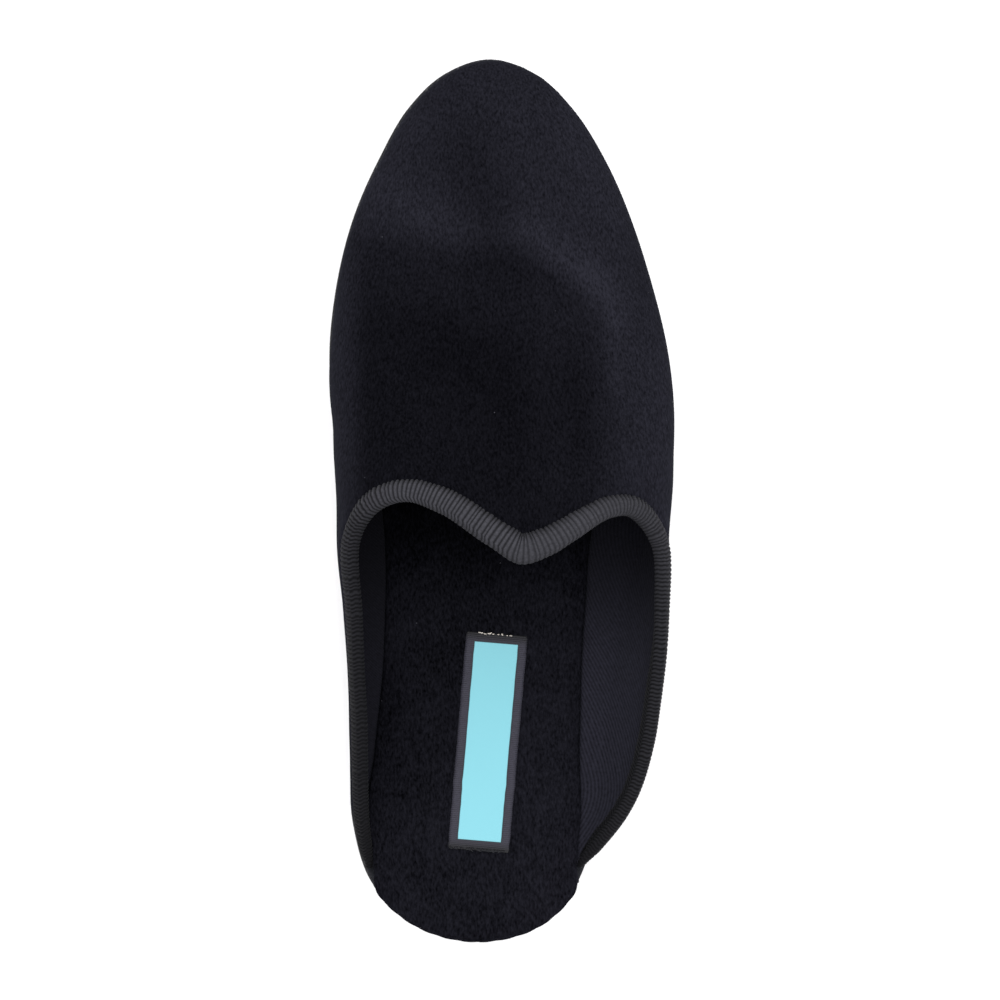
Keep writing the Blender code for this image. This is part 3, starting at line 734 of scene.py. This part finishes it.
def make_upper():
    """One closed wall. Profile at each place: up the velvet face, over the rounded top, down the lining
    and back under. The face is pulled in at each hand stitch along its foot and puckers beside the
    tape."""
    strip = even_strip(UPPER_PROFILES, 0.25)
    # The rows lie closer together at the foot, where the stitches pull
    outer_up = np.concatenate([np.linspace(0.0, 0.12, 12)[:-1], np.linspace(0.12, 1.0, 62)])
    inner_up = np.linspace(1.0, 0.0, 36)
    s_out, u_out = np.meshgrid(strip, outer_up, indexing="ij")
    s_in, u_in = np.meshgrid(strip, inner_up, indexing="ij")
    face, normal = outer_face(s_out, u_out), face_normals(s_out, u_out)
    back, back_normal = outer_face(s_in, u_in), face_normals(s_in, u_in)
    foot_run, top_run = distance(face[:, 0]), distance(face[:, -1])
    rise = np.stack([distance(line) for line in face])
    below_top = rise[:, -1:] - rise
    middle = ease(rise, 0.002, 0.012) * ease(below_top, 0.006, 0.016)
    push = -soft_lines(CREASES, *plan_mm(face)) / 1000.0 * middle
    push -= STITCH_PULL * sewn_pull(foot_run, STITCH_PITCH)[:, None] * hump(rise, 0.0, STITCH_REACH)
    pucker = PUCKER * sewn_pull(top_run, SCALLOP_PITCH, 1.0)[:, None]
    tape = tape_at(strip)[0][:, None]
    push -= pucker * hump(below_top, tape + 0.0006, PUCKER_REACH)
    push += TAPE_SWELL * hump(below_top, tape + 0.0030, 0.0022)
    waves = np.sin(face[..., 0] * 190.0 + face[..., 1] * 60.0) * np.sin(face[..., 1] * 140.0 - 0.7)
    push += UPPER_WAVES * waves * middle
    skin = face + normal * push[..., None]
    lining = back - back_normal * wall_at(u_in)[..., None]
    # The lining's foot sweeps in over the insole's edge
    flat = unit(back_normal[:, -1] * np.array([1.0, 1.0, 0.0]))
    lining[:, -1] = back[:, -1] - flat * UPPER_WALL
    swept = np.maximum(pad_draw(lining[:, -1, 0], lining[:, -1, 1]), 0.0)
    turned = 1.0 - ease(u_in, 0.0, 0.26)
    lining -= (flat * swept[:, None])[:, None] * (turned**1.5)[..., None]
    lining[..., 2] += swept[:, None] * 0.45 * turned * (1.0 - 0.5 * turned)
    crest = unit(face[:, -1] - face[:, -2])
    over = [0.85, 0.5, 0.15]
    brow = [face[:, -1] - normal[:, -1] * TOP_WALL * (1.0 - s) + crest * BRUSHED_CREST for s in over]
    rings = np.concatenate([skin, np.stack(brow, axis=1), lining], axis=1)
    around = np.stack([distance(ring) for ring in rings])
    uv = np.stack([np.broadcast_to(top_run[:, None], around.shape), around], axis=-1)
    up = np.concatenate([u_out, np.ones((len(strip), len(over))), u_in], axis=1)
    nap_and_painted_light = nap_of(*plan_mm(rings), up)
    first, last = len(outer_up) + 1, rings.shape[1] - 1
    # The lining gets painted shade in place of the pile's lie
    nap_and_painted_light[:, first:] = lining_painted_light(rings[:, first:], up[:, first:])
    piece = carried("upper_velvet", rings, uv, {"nap_and_painted_light": nap_and_painted_light})
    dress(piece, ("Cotton velvet", "Cotton twill lining"))
    paint_lining(piece, rings.shape, first, last)
    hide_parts("upper")


def lining_painted_light(points, up):
    """How pale the lining is painted: painted shade on the inner side, towards the throat and just below the
    tape, where less light reaches it.
    """
    painted_shade = (1.0 - 0.62 * ease(points[..., 1], -0.052, -0.012)) * (1.0 - 0.30 * hump(up, 0.80, 0.12))
    return painted_shade * (0.42 + 0.58 * ease(points[..., 0], -0.02, 0.02))


def paint_lining(piece, grid, first, last):
    """Gives the faces between two profile points the second material; the wall's faces come before its
    ends'."""
    wanted = np.zeros((grid[0] - 1, grid[1]), dtype=np.int32)
    wanted[:, first:last] = 1
    index = np.zeros(len(piece.data.polygons), dtype=np.int32)
    index[: wanted.size] = wanted.ravel()
    piece.data.polygons.foreach_set("material_index", index)


def dress(piece, names):
    """Gives a piece its materials and lets it ride on the one body."""
    for name in names:
        piece.data.materials.append(MATERIALS[name])
    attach(piece, "root")


# The edge tape


def off_edge(points, edge, way):
    """How far each row's points lie ahead of its place on the edge along way, and how far square off it."""
    away = points - edge[:, None]
    ahead = np.einsum("ijk,ik->ij", away, way)
    return ahead, np.sqrt(np.maximum(np.sum(away**2, axis=2) - ahead**2, 0.0))


def make_binding():
    """The tape folded over the top edge, as full as a soft roll. At place w along the edge the tape
    stands off the wall by its fullness plus a rib |sin(pi w / pitch)|; each rib's end is a small round
    scallop."""
    strip = even_strip(TAPE_PROFILES, 1.0)
    lowest = 0.45
    fine = np.linspace(lowest, 1.0, 90)
    lines = outer_face(*np.meshgrid(strip, fine, indexing="ij"))
    edge = lines[:, -1]
    run = distance(edge)
    tangent = unit(np.gradient(edge, axis=0))
    square = off_edge(lines, edge, tangent)[1]
    width, light, rate = tape_at(strip)
    ends = ease(run, 0.0, 0.009) * ease(run[-1] - run, 0.0, 0.009)
    inner_extra = 0.0027 * ease(strip, 0.66, 0.80) - 0.0004
    rng = np.random.default_rng(5)
    uneven = np.interp(run, np.linspace(0.0, run[-1], 160), rng.normal(0.0, UNEVEN_EDGE, 160))
    waver = np.interp(run, np.linspace(0.0, run[-1], 240), rng.normal(0.0, UNEVEN_CORDS, 240))
    # w is the distance that counts the cords, longer where they lie close together
    counted = np.concatenate([[0.0], np.cumsum(0.5 * (rate[1:] + rate[:-1]) * np.diff(run))]) + waver

    # A cord crosses the tape square to this smoothed direction of the edge
    spread = 60
    window = np.hanning(2 * spread + 3)[1:-1]
    window = window / window.sum()
    padded = [np.pad(part, spread, "edge") for part in tangent.T]
    led = unit(np.stack([np.convolve(part, window, "valid") for part in padded], axis=-1))
    slope = (np.gradient(strip) / np.gradient(run))[:, None]

    def leg(extra, share):
        """Rows down one side of the wall, square off the edge, at shares of the tape's width plus extra:
        points, normals, the wall's thickness and the distance w at each."""
        depth = (width + extra)[:, None] * share[None, :]
        up = np.array([np.interp(-d, -q, fine) for d, q in zip(depth, square)])
        s = np.repeat(strip[:, None], len(share), axis=1)
        nudge = 0.003
        for _ in range(12):
            ahead, away = off_edge(outer_face(s, up), edge, led)
            lower = off_edge(outer_face(s, up - nudge), edge, led)[1]
            up = np.clip(up + (away - depth) / np.maximum((lower - away) / nudge, 0.01), lowest, 1.0)
            s = np.clip(s - 0.5 * ahead * slope, 0.0, 1.0)
        points = outer_face(s, up)
        where = counted[:, None] + rate[:, None] * off_edge(points, edge, led)[0]
        return points, face_normals(s, up), wall_at(up), where

    def rib(w):
        """0 in the grooves between the cords and 1 on their backs."""
        return np.abs(np.sin(np.pi * w / RIB_PITCH))

    def rise(w):
        return RIB_HEIGHT * (rib(w) ** 0.9 - 0.6)

    share = np.linspace(1.0, 0.0, 11)
    few = np.array([1.0, 0.66, 0.33, 0.0])
    sewn_at = leg(np.zeros_like(run), np.array([1.0]))[3][:, 0]
    scallop = SCALLOP_DEPTH * (rib(sewn_at) ** 0.6 - 0.5) + uneven
    face, normal, _, where = leg(scallop, share)
    inner_face, inner_normal, wall, inner_where = leg(inner_extra + uneven, share)

    # The tape lies close at its sewn edge and is fullest halfway to the fold
    full = TAPE_THICKNESS * (0.40 + 0.90 * ease(1.0 - share, 0.0, 0.40))
    stand = FIT_GAP * 0.3 + (0.20 + 0.80 * ends)[:, None] * full[None, :]
    roll = TAPE_ROLL * np.sin(np.pi * share) ** 0.8
    out = face + normal * (stand + light[:, None] * roll + rise(where))[..., None]
    crest = unit(edge - lines[:, -3])
    middle = edge - normal[:, -1] * (TOP_WALL / 2.0)
    radius = TOP_WALL / 2.0 + stand[:, -1] + rise(counted)
    turns = np.radians(np.linspace(0.0, 180.0, 9))[1:-1]

    def fold(size, height, angles):
        """Points over the wall's top, on half an ellipse, one list entry for each angle."""
        return [
            middle + normal[:, -1] * (size * math.cos(a))[:, None] + crest * (height * math.sin(a))[:, None]
            for a in angles
        ]

    over = fold(radius, TAPE_CREST_SHARE * radius, turns)
    down = inner_face - inner_normal * (wall + stand + rise(inner_where))[..., None]
    skin = np.concatenate([out, np.stack(over, axis=1), down[:, ::-1]], axis=1)
    close = 0.0001
    hidden_face, hidden_normal, _, _ = leg(scallop, few)
    hidden_inner, hidden_inner_normal, hidden_wall, _ = leg(inner_extra + uneven, few)
    inside = TOP_WALL / 2.0 + close + np.zeros_like(run)
    lining = np.concatenate([
        hidden_face + hidden_normal * close,
        np.stack(fold(inside, 0.5 * inside, turns[1::2]), axis=1),
        (hidden_inner - hidden_inner_normal * (hidden_wall + close)[..., None])[:, ::-1],
    ], axis=1)
    rings = np.concatenate([skin, lining[:, ::-1]], axis=1)

    # Tone, which is painted light and shade: each rib gets a painted highlight on its back and painted shade
    # in its groove, less so where the tape is stretched. Where it is slack the ribs bend to and fro. Both
    # edges of the roll get painted shade, and all of it is scaled by the painted light of its place.
    on_fold = np.repeat(counted[:, None], len(turns), axis=1)
    shown = np.concatenate([where, on_fold, inner_where[:, ::-1]], axis=1)
    depth = distance(skin[len(skin) // 2])
    slack = (1.0 - light)[:, None]
    bent = shown + CORD_BEND * slack * np.sin(2.0 * np.pi * depth / CORD_BEND_LENGTH)
    beads = 0.5 + 0.5 * np.cos(2.0 * np.pi * depth / CORD_BEAD_LENGTH + 1.0)
    beads = 1.0 - (0.12 + 0.30 * slack) * beads
    # Painted highlight on each cord's back, painted shade in its groove
    backs = 0.04 + 0.96 * ease(rib(bent), 0.14 + 0.36 * slack, 1.0)
    mild = ((0.20 + 0.30 * ease(strip, 0.47, 0.52)) * ease(light, 0.5, 0.9))[:, None]
    backs = (backs + mild * (1.0 - backs)) * (1.0 - 0.4 * mild)
    # Painted shade across the roll: darkest at the sewn edge, lightest from a third of the way in, a little
    # darker at the fold
    outward = 0.50 + 0.50 * ease(1.0 - share, 0.0, 0.35) - 0.10 * ease(1.0 - share, 0.65, 1.0)
    painted_roll_shade = np.concatenate([outward, np.linspace(0.85, 0.55, len(turns)), np.full(len(share), 0.5)])
    tone = light[:, None] * backs * beads * painted_roll_shade[None, :]
    tone = np.concatenate([tone, np.zeros(lining.shape[:2])], axis=1)
    piece = carried("binding_tape", rings, None, {"tone": tone})
    dress(piece, ("Grosgrain tape",))
    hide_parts("binding")


# The sole's layers


def paired_loop(stations):
    """The outline as points that face each other at the same place along the sole, with their mid-line,
    their outward directions and the distance run round it."""
    toe = int(np.argmax(CURVE[:, 1]))
    inner = CURVE[: toe + 1]
    outer = np.concatenate([CURVE[toe:], CURVE[:1]])[::-1]
    swing = 0.5 - 0.5 * np.cos(np.linspace(0.0, np.pi, stations + 1))
    ys = inner[0, 1] + (inner[-1, 1] - inner[0, 1]) * swing
    left = np.stack([np.interp(ys, inner[:, 1], inner[:, 0]), ys], axis=1)
    right = np.stack([np.interp(ys, outer[:, 1], outer[:, 0]), ys], axis=1)
    loop = np.concatenate([left, right[-2:0:-1]])
    return loop, loop_normals(loop), distance(loop)


def closed_layer(name, stations, drawn, heights, fill_rows, shape):
    """A layer of the sole. Rings follow the outline: from the underside's mid-line out to its edge, up
    the side by drawn (inward) and heights, and back over the top to the mid-line. shape(points, part,
    run, share, normals) moves them; part is -1 under, 0 on the side and 1 on top, share runs from the
    edge (1) to the mid-line (0). The pale attribute is for the insole: painted shade towards the throat,
    where the upper covers it, and darker in the heel's print."""
    loop, normals, run = paired_loop(stations)
    count = len(loop)
    partner = (-np.arange(count)) % count
    rings, parts, shares = [], [], []

    def fill(edge, part, order):
        """Rings between the mid-line and an edge, at shares of the way out."""
        mid = (edge[:, :2] + edge[partner][:, :2]) / 2.0
        for share in order:
            xy = mid + (edge[:, :2] - mid) * share
            rings.append(with_height(xy, edge[:, 2] - lift(edge[:, 1]) + lift(xy[:, 1])))
            parts.append(part)
            shares.append(share)

    def level(k):
        """The ring at the side's level k."""
        xy = loop - normals * np.reshape(drawn[k], (-1, 1))
        return with_height(xy, heights[k] + lift(xy[:, 1]))

    inward = np.linspace(1.0, 0.0, fill_rows + 1)[1:]
    fill(level(0), -1, inward[::-1])
    for k in range(len(heights)):
        rings.append(level(k))
        parts.append(0)
        shares.append(1.0)
    fill(level(len(heights) - 1), 1, inward)
    part, share = np.array(parts)[:, None], np.array(shares)[:, None]
    points = shape(np.stack(rings), part, run[None, :], share, normals[None])
    quads = grid_quads(len(rings), count, round_columns=True, flip=True)
    # Painted shade: the insole is darker towards the throat, which the upper shades
    deep = ease(points[..., 1], -0.045, 0.012)
    nap_and_painted_light = 0.27 - 0.27 * deep + (0.03 + 0.05 * hump(points[..., 0], 0.016, 0.012)) * (1.0 - deep)
    nap_and_painted_light -= 0.07 * hump(points[..., 1], -0.050, 0.030)
    return build(name, points, quads, points[..., :2], {"nap_and_painted_light": nap_and_painted_light})


def side_profile(table, thickness, steps):
    """Drawn-in distances and heights along a layer's side, smoothly through its table's shares."""
    rows = np.array(table)
    knots = np.linspace(0.0, 1.0, len(rows))
    values = through(knots, rows, np.linspace(0.0, 1.0, steps))
    return values[:, 0] * thickness, values[:, 1] * thickness


def make_outsole():
    """Rubber sole. Its underside has shallow zigzag grooves inside a plain rim, cut where
    |fract(y / pitch + 1.6 zigzag(x)) - 0.5| is large."""
    def tread(points, part, run, share, normals):
        x, y = points[..., 0], points[..., 1]
        zigzag = np.abs(((x / ZIGZAG_LENGTH) % 1.0) - 0.5) * 2.0
        phase = (y / TREAD_PITCH + zigzag * 1.6) % 1.0
        groove = ease(np.abs(phase - 0.5), 0.30, 0.42)
        rim = ease(share, 0.90, 0.97)
        points[..., 2] += (part < 0) * TREAD_DEPTH * groove * (1.0 - rim)
        return points

    # Drawn in, and height, as shares of the thickness, from the underside up; the other layers' sides too
    side = ((0.35, 0.0), (0.08, 0.22), (0.0, 0.50), (0.0, 0.85), (0.06, 1.0))
    drawn, heights = side_profile(side, OUTSOLE_THICKNESS, 12)
    piece = closed_layer("outsole_rubber", 300, drawn, heights, 60, tread)
    dress(piece, ("Vulcanised rubber",))
    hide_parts("outsole")


def make_midsole():
    """Cloth-wrapped board whose edge is pinched in by each hand stitch and fuller between stitches."""
    def pinch(points, part, run, share, normals):
        height = points[..., 2] - lift(points[..., 1]) - MIDSOLE_BASE
        upper_half = ease(height, 0.25 * MIDSOLE_THICKNESS, 0.9 * MIDSOLE_THICKNESS)
        pull = sewn_pull(run, STITCH_PITCH, 1.6)
        move = (BOARD_FULLNESS - BOARD_PINCH * pull) * upper_half * (part == 0)
        points[..., :2] += normals * move[..., None]
        points[..., 2] -= BOARD_DIP * pull * upper_half * (part == 0)
        return points

    side = ((0.22, 0.0), (0.05, 0.18), (0.0, 0.42), (0.03, 0.68), (0.14, 0.90), (0.32, 1.0))
    drawn, heights = side_profile(side, MIDSOLE_THICKNESS, 16)
    tuck = 0.0004
    piece = closed_layer("midsole_edge", 420, drawn + tuck, heights + MIDSOLE_BASE, 12, pinch)
    dress(piece, ("Wool-felt cloth",))
    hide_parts("midsole")


def insole_margin(loop):
    """How far the pad's edge lies inside the sole's: against the lining under the upper, and almost out
    to the edge at the open heel."""
    inside = EDGE_STEP + UPPER_WALL - 0.0014 + pad_draw(loop[:, 0], loop[:, 1])
    at_heel = -0.0002
    return at_heel + (inside - at_heel) * ease(share_of(loop[:, 1]), 0.60 * WING_END, 1.10 * WING_END)


def heel_print(x, y):
    """The dent that a heel has pressed into the insole, in metres, at places in millimetres."""
    return HEEL_PRINT * hump(np.hypot((x + 7.0) / 20.0, (y + 88.0) / 26.0), 0.0, 1.0)


def make_insole():
    """Padded velvet insole: a rounded rim, a shallow print under the heel and the ball, and a few soft
    rolls."""
    def soften(points, part, run, share, normals):
        x, y = plan_mm(points)
        ball = BALL_PRINT * hump(np.hypot((x + 2.0) / 30.0, (y - 38.0) / 30.0), 0.0, 1.0)
        rolls = INSOLE_ROLLS * np.sin(x * 0.21 + y * 0.11) * np.sin(y * 0.17 - x * 0.05 + 1.3)
        rim = INSOLE_RIM * hump(share, 0.86, 0.10)
        inner = ease(1.0 - share, 0.02, 0.35)
        points[..., 2] += (part > 0) * ((rolls - heel_print(x, y) - ball) * inner + rim)
        behind = 1.0 - ease(share_of(y / 1000.0), 0.60 * WING_END, 0.95 * WING_END)
        pull = sewn_pull(run, STITCH_PITCH * 0.95, 1.6)
        points[..., :2] -= normals * (INSOLE_PINCH * pull * behind * (part == 0))[..., None]
        return points

    side = ((0.24, 0.0), (0.10, 0.30), (0.0, 0.68), (0.01, 0.90), (0.16, 1.0))
    drawn, heights = side_profile(side, INSOLE_THICKNESS, 14)
    stations = 300
    drawn = drawn[:, None] + insole_margin(paired_loop(stations)[0])
    piece = closed_layer("insole_velvet", stations, drawn, heights + INSOLE_BASE, 44, soften)
    dress(piece, ("Cotton velvet, insole",))
    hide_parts("insole")


# Hand stitches


def tubes(name, paths, radius, sides=8):
    """Joined round threads. paths[i, j] is point j of thread i; each ring is radius from it, square to
    the path, and narrows to a closed point at both ends."""
    along = unit(np.gradient(paths, axis=1))
    side = unit(np.cross(along, (0.0, 0.0, 1.0)) + 1e-9)
    other = np.cross(along, side)
    steps = paths.shape[1]
    taper = np.sqrt(np.clip(1.0 - (2.0 * np.linspace(0.0, 1.0, steps) - 1.0) ** 6, 0.0, 1.0))
    turn = np.linspace(0.0, 2.0 * np.pi, sides, endpoint=False)
    ring = np.cos(turn)[:, None] * side[:, :, None] + np.sin(turn)[:, None] * other[:, :, None]
    points = paths[:, :, None] + ring * (radius * taper)[:, None, None]
    each = grid_quads(steps, sides, round_columns=True)
    first = np.arange(len(paths)) * steps * sides
    return build(name, points, (each + first[:, None, None]).reshape(-1, 4))


def make_edge_stitches():
    """Whip stitches all round the seam above the midsole: each thread comes out of the cloth above the
    seam, bows outward and goes down slanting into the midsole's edge."""
    loop, normals, run = paired_loop(900)
    total = run[-1] + np.linalg.norm(loop[0] - loop[-1])
    number = int(round(total / STITCH_PITCH))
    at = (np.arange(number) + 0.5) * total / number
    closed_run = np.concatenate([run, [total]])
    closed_loop = np.concatenate([loop, loop[:1]])
    closed_out = np.concatenate([normals, normals[:1]])

    def place(where, inward, z):
        """Points at distances round the sole's edge, drawn inward, at heights above the flat sole."""
        out = unit(at_places(where % total, closed_run, closed_out))
        xy = at_places(where % total, closed_run, closed_loop) - out * inward[..., None]
        return with_height(xy, z + lift(xy[..., 1]))

    rng = np.random.default_rng(11)
    wobble = rng.normal(0.0, 0.12, (number, 1)) * STITCH_PITCH
    t = np.linspace(0.0, 1.0, 12)[None, :]
    slant = 0.0016
    where = at[:, None] + wobble + (t - 0.5) * slant
    y = np.interp(at, closed_run, closed_loop[:, 1])
    open_heel = 1.0 - ease(share_of(y), 0.7 * WING_END, 0.95 * WING_END)[:, None]
    start_in = EDGE_STEP - 0.0002 - 0.0012 * open_heel
    inward = start_in * (1.0 - t) + 0.0006 * t - 0.0004 * np.sin(np.pi * t)
    top = SOLE_TOP + 0.0010 - 0.0012 * open_heel
    z = top * (1.0 - t) + (MIDSOLE_BASE + 0.40 * MIDSOLE_THICKNESS) * t + 0.0006 * np.sin(np.pi * t)
    piece = tubes("edge_stitches", place(where, inward, z), THREAD_RADIUS)
    dress(piece, ("Waxed thread",))


# The label


def label_place(u, v):
    """Where on the insole the label's point lies that is u across and v along from its middle, and how
    far the insole is pressed down there."""
    across = np.array([math.cos(LABEL_TURN), math.sin(LABEL_TURN)])
    along = np.array([-math.sin(LABEL_TURN), math.cos(LABEL_TURN)])
    middle = np.array([LABEL_OFF_AXIS * HEEL_WIDTH, (LABEL_MIDDLE - 0.5) * SOLE_LENGTH]) + SHIFT
    xy = middle + u[..., None] * across + v[..., None] * along
    return xy, heel_print(*plan_mm(xy))


def make_label():
    """A thin woven strip on the insole: a flat closed profile carried along it, its sides a touch wavy
    and its edges thinner."""
    steps = np.linspace(-0.5, 0.5, 160) * LABEL_LENGTH
    sides = np.linspace(-0.5, 0.5, 48) * LABEL_WIDTH
    v, u = np.meshgrid(steps, sides, indexing="ij")
    rng = np.random.default_rng(3)
    rounded = 1.0 - 0.05 * ease(np.abs(v), 0.5 * LABEL_LENGTH - 0.0010, 0.5 * LABEL_LENGTH)
    frayed = np.interp(steps, np.linspace(steps[0], steps[-1], 30), rng.normal(0, 1, 30))
    xy, dip = label_place(u * (rounded + LABEL_FRAY * frayed[:, None]), v)
    edge = np.maximum(np.abs(u) / (0.5 * LABEL_WIDTH), np.abs(v) / (0.5 * LABEL_LENGTH))
    base = INSOLE_TOP + FIT_GAP * 0.3 + lift(xy[..., 1])
    wave = LABEL_WAVES * np.sin(v * 330.0) * ease(np.abs(u), 0.004, 0.0088)
    top = base + LABEL_THICKNESS * (1.0 - 0.75 * ease(edge, 0.93, 1.0)) + wave - dip
    lower = with_height(xy, base - 0.0004 - dip)
    rings = np.concatenate([with_height(xy, top), lower[:, ::-1]], axis=1)
    flat = np.stack([u, v], axis=-1)
    piece = carried("label_woven", rings, np.concatenate([flat, flat[:, ::-1]], axis=1))
    dress(piece, ("Woven label",))
    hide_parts("label")


def label_threads(name, end, low, high, number, longest, radius, material, seed):
    """Short loose threads along one end of the label, scattered across its width between two shares of
    it."""
    rng = np.random.default_rng(seed)
    t = np.linspace(-0.5, 0.5, 8)[None, :]
    stitch = rng.uniform(0.35, 1.0, (number, 1)) * longest
    lean = rng.normal(0.0, 0.35, (number, 1))
    u = rng.uniform(low, high, (number, 1)) * LABEL_WIDTH + t * stitch
    v = end * (0.5 * LABEL_LENGTH - rng.uniform(-0.0001, 0.0004, (number, 1))) + lean * t * stitch
    xy, dip = label_place(u, v)
    z = INSOLE_TOP + 0.7 * LABEL_THICKNESS + lift(xy[..., 1]) + 0.00018 * np.cos(np.pi * t) - dip
    piece = tubes(name, with_height(xy, z), radius, 6)
    dress(piece, (material,))


def make_label_stitches():
    """The label's heel end is caught down with dark threads; a few cut pale ends show at its other end."""
    label_threads("label_cut_ends", 1.0, -0.32, 0.24, 15, 0.0010, 0.00013, "Loose label thread", 8)
    label_threads("label_catch_threads", -1.0, -0.49, 0.49, 34, 0.0015, 0.00016, "Waxed thread", 9)


# Floor, light and camera


def make_floor():
    """A flat sheet under the slipper, wide enough to fill every view."""
    half = 3.0
    line = np.linspace(-half, half, 5)
    x, y = np.meshgrid(line, line, indexing="ij")
    points = np.stack([x, y, np.full_like(x, -0.0002)], axis=-1)
    floor = build("studio_floor", points, grid_quads(len(line), len(line), flip=True))
    floor.data.materials.append(MATERIALS["White board"])
    floor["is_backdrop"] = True


def make_light():
    """Two soft boxes overhead, the stronger to the upper left of the picture, and an even pale surround."""
    world = bpy.data.worlds.new("Studio")
    bpy.context.scene.world = world
    world.use_nodes = True
    back = world.node_tree.nodes["Background"]
    back.inputs["Color"].default_value = linear("#F8F7F7")
    back.inputs["Strength"].default_value = 1.35
    lamps = (
        ("soft_box", (-0.45, 0.55, 1.80), 1.9, 28.0),
        ("fill", (0.9, -0.35, 1.6), 1.8, 14.0),
    )
    for name, place, size, power in lamps:
        lamp = bpy.data.lights.new(name, "AREA")
        lamp.size = size
        lamp.energy = power
        holder = bpy.data.objects.new(name, lamp)
        holder.location = place
        holder.rotation_euler = (-Vector(place)).to_track_quat("-Z", "Y").to_euler()
        bpy.context.scene.collection.objects.link(holder)


# The camera's place in metres, its sensor in millimetres, and how much of the picture a radian fills
CAMERA_PLACE = (-0.0496, 0.0076, 1.200)
CAMERA_PIXELS_PER_RADIAN = 4200.0
SENSOR = 36.0
PICTURE_PIXELS = 1000.0


def make_camera():
    """The camera stands overhead, a little to the inner side of the slipper, as it stood for the
    photograph, and looks at the slipper's middle with the toe up."""
    lens = bpy.data.cameras.new("overhead")
    lens.sensor_width = SENSOR
    lens.lens = CAMERA_PIXELS_PER_RADIAN / PICTURE_PIXELS * SENSOR
    lens.clip_start, lens.clip_end = 0.05, 20.0
    camera = bpy.data.objects.new("overhead", lens)
    low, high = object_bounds()
    target = Vector(((low[0] + high[0]) / 2.0, (low[1] + high[1]) / 2.0, 0.012))
    camera.location = CAMERA_PLACE
    back = (camera.location - target).normalized()
    right = Vector((0.0, 1.0, 0.0)).cross(back).normalized()
    camera.rotation_euler = Matrix((right, back.cross(right), back)).transposed().to_euler()
    bpy.context.scene.collection.objects.link(camera)
    bpy.context.scene.camera = camera


def make_materials():
    """Every material, under the name that its pieces ask for."""
    velvet("Cotton velvet", "#040406", "#1F1F26", 0.10)
    velvet("Cotton velvet, insole", "#020203", "#1F1F26", 0.26)
    twill("Cotton twill lining")
    ribbed_tape("Grosgrain tape")
    wrapped_cloth("Wool-felt cloth")
    sewing_thread("Waxed thread", "#08080A", "#222328", 0.15)
    sewing_thread("Loose label thread", "#8C867E", "#D8D2CA", 0.3)
    tyre_rubber("Vulcanised rubber")
    woven_label("Woven label")
    studio_floor("White board")


bpy.context.scene.view_settings.view_transform = "Standard"
make_materials()
make_upper()
make_binding()
make_outsole()
make_midsole()
make_insole()
make_edge_stitches()
make_label()
make_label_stitches()
make_floor()
make_light()
make_camera()
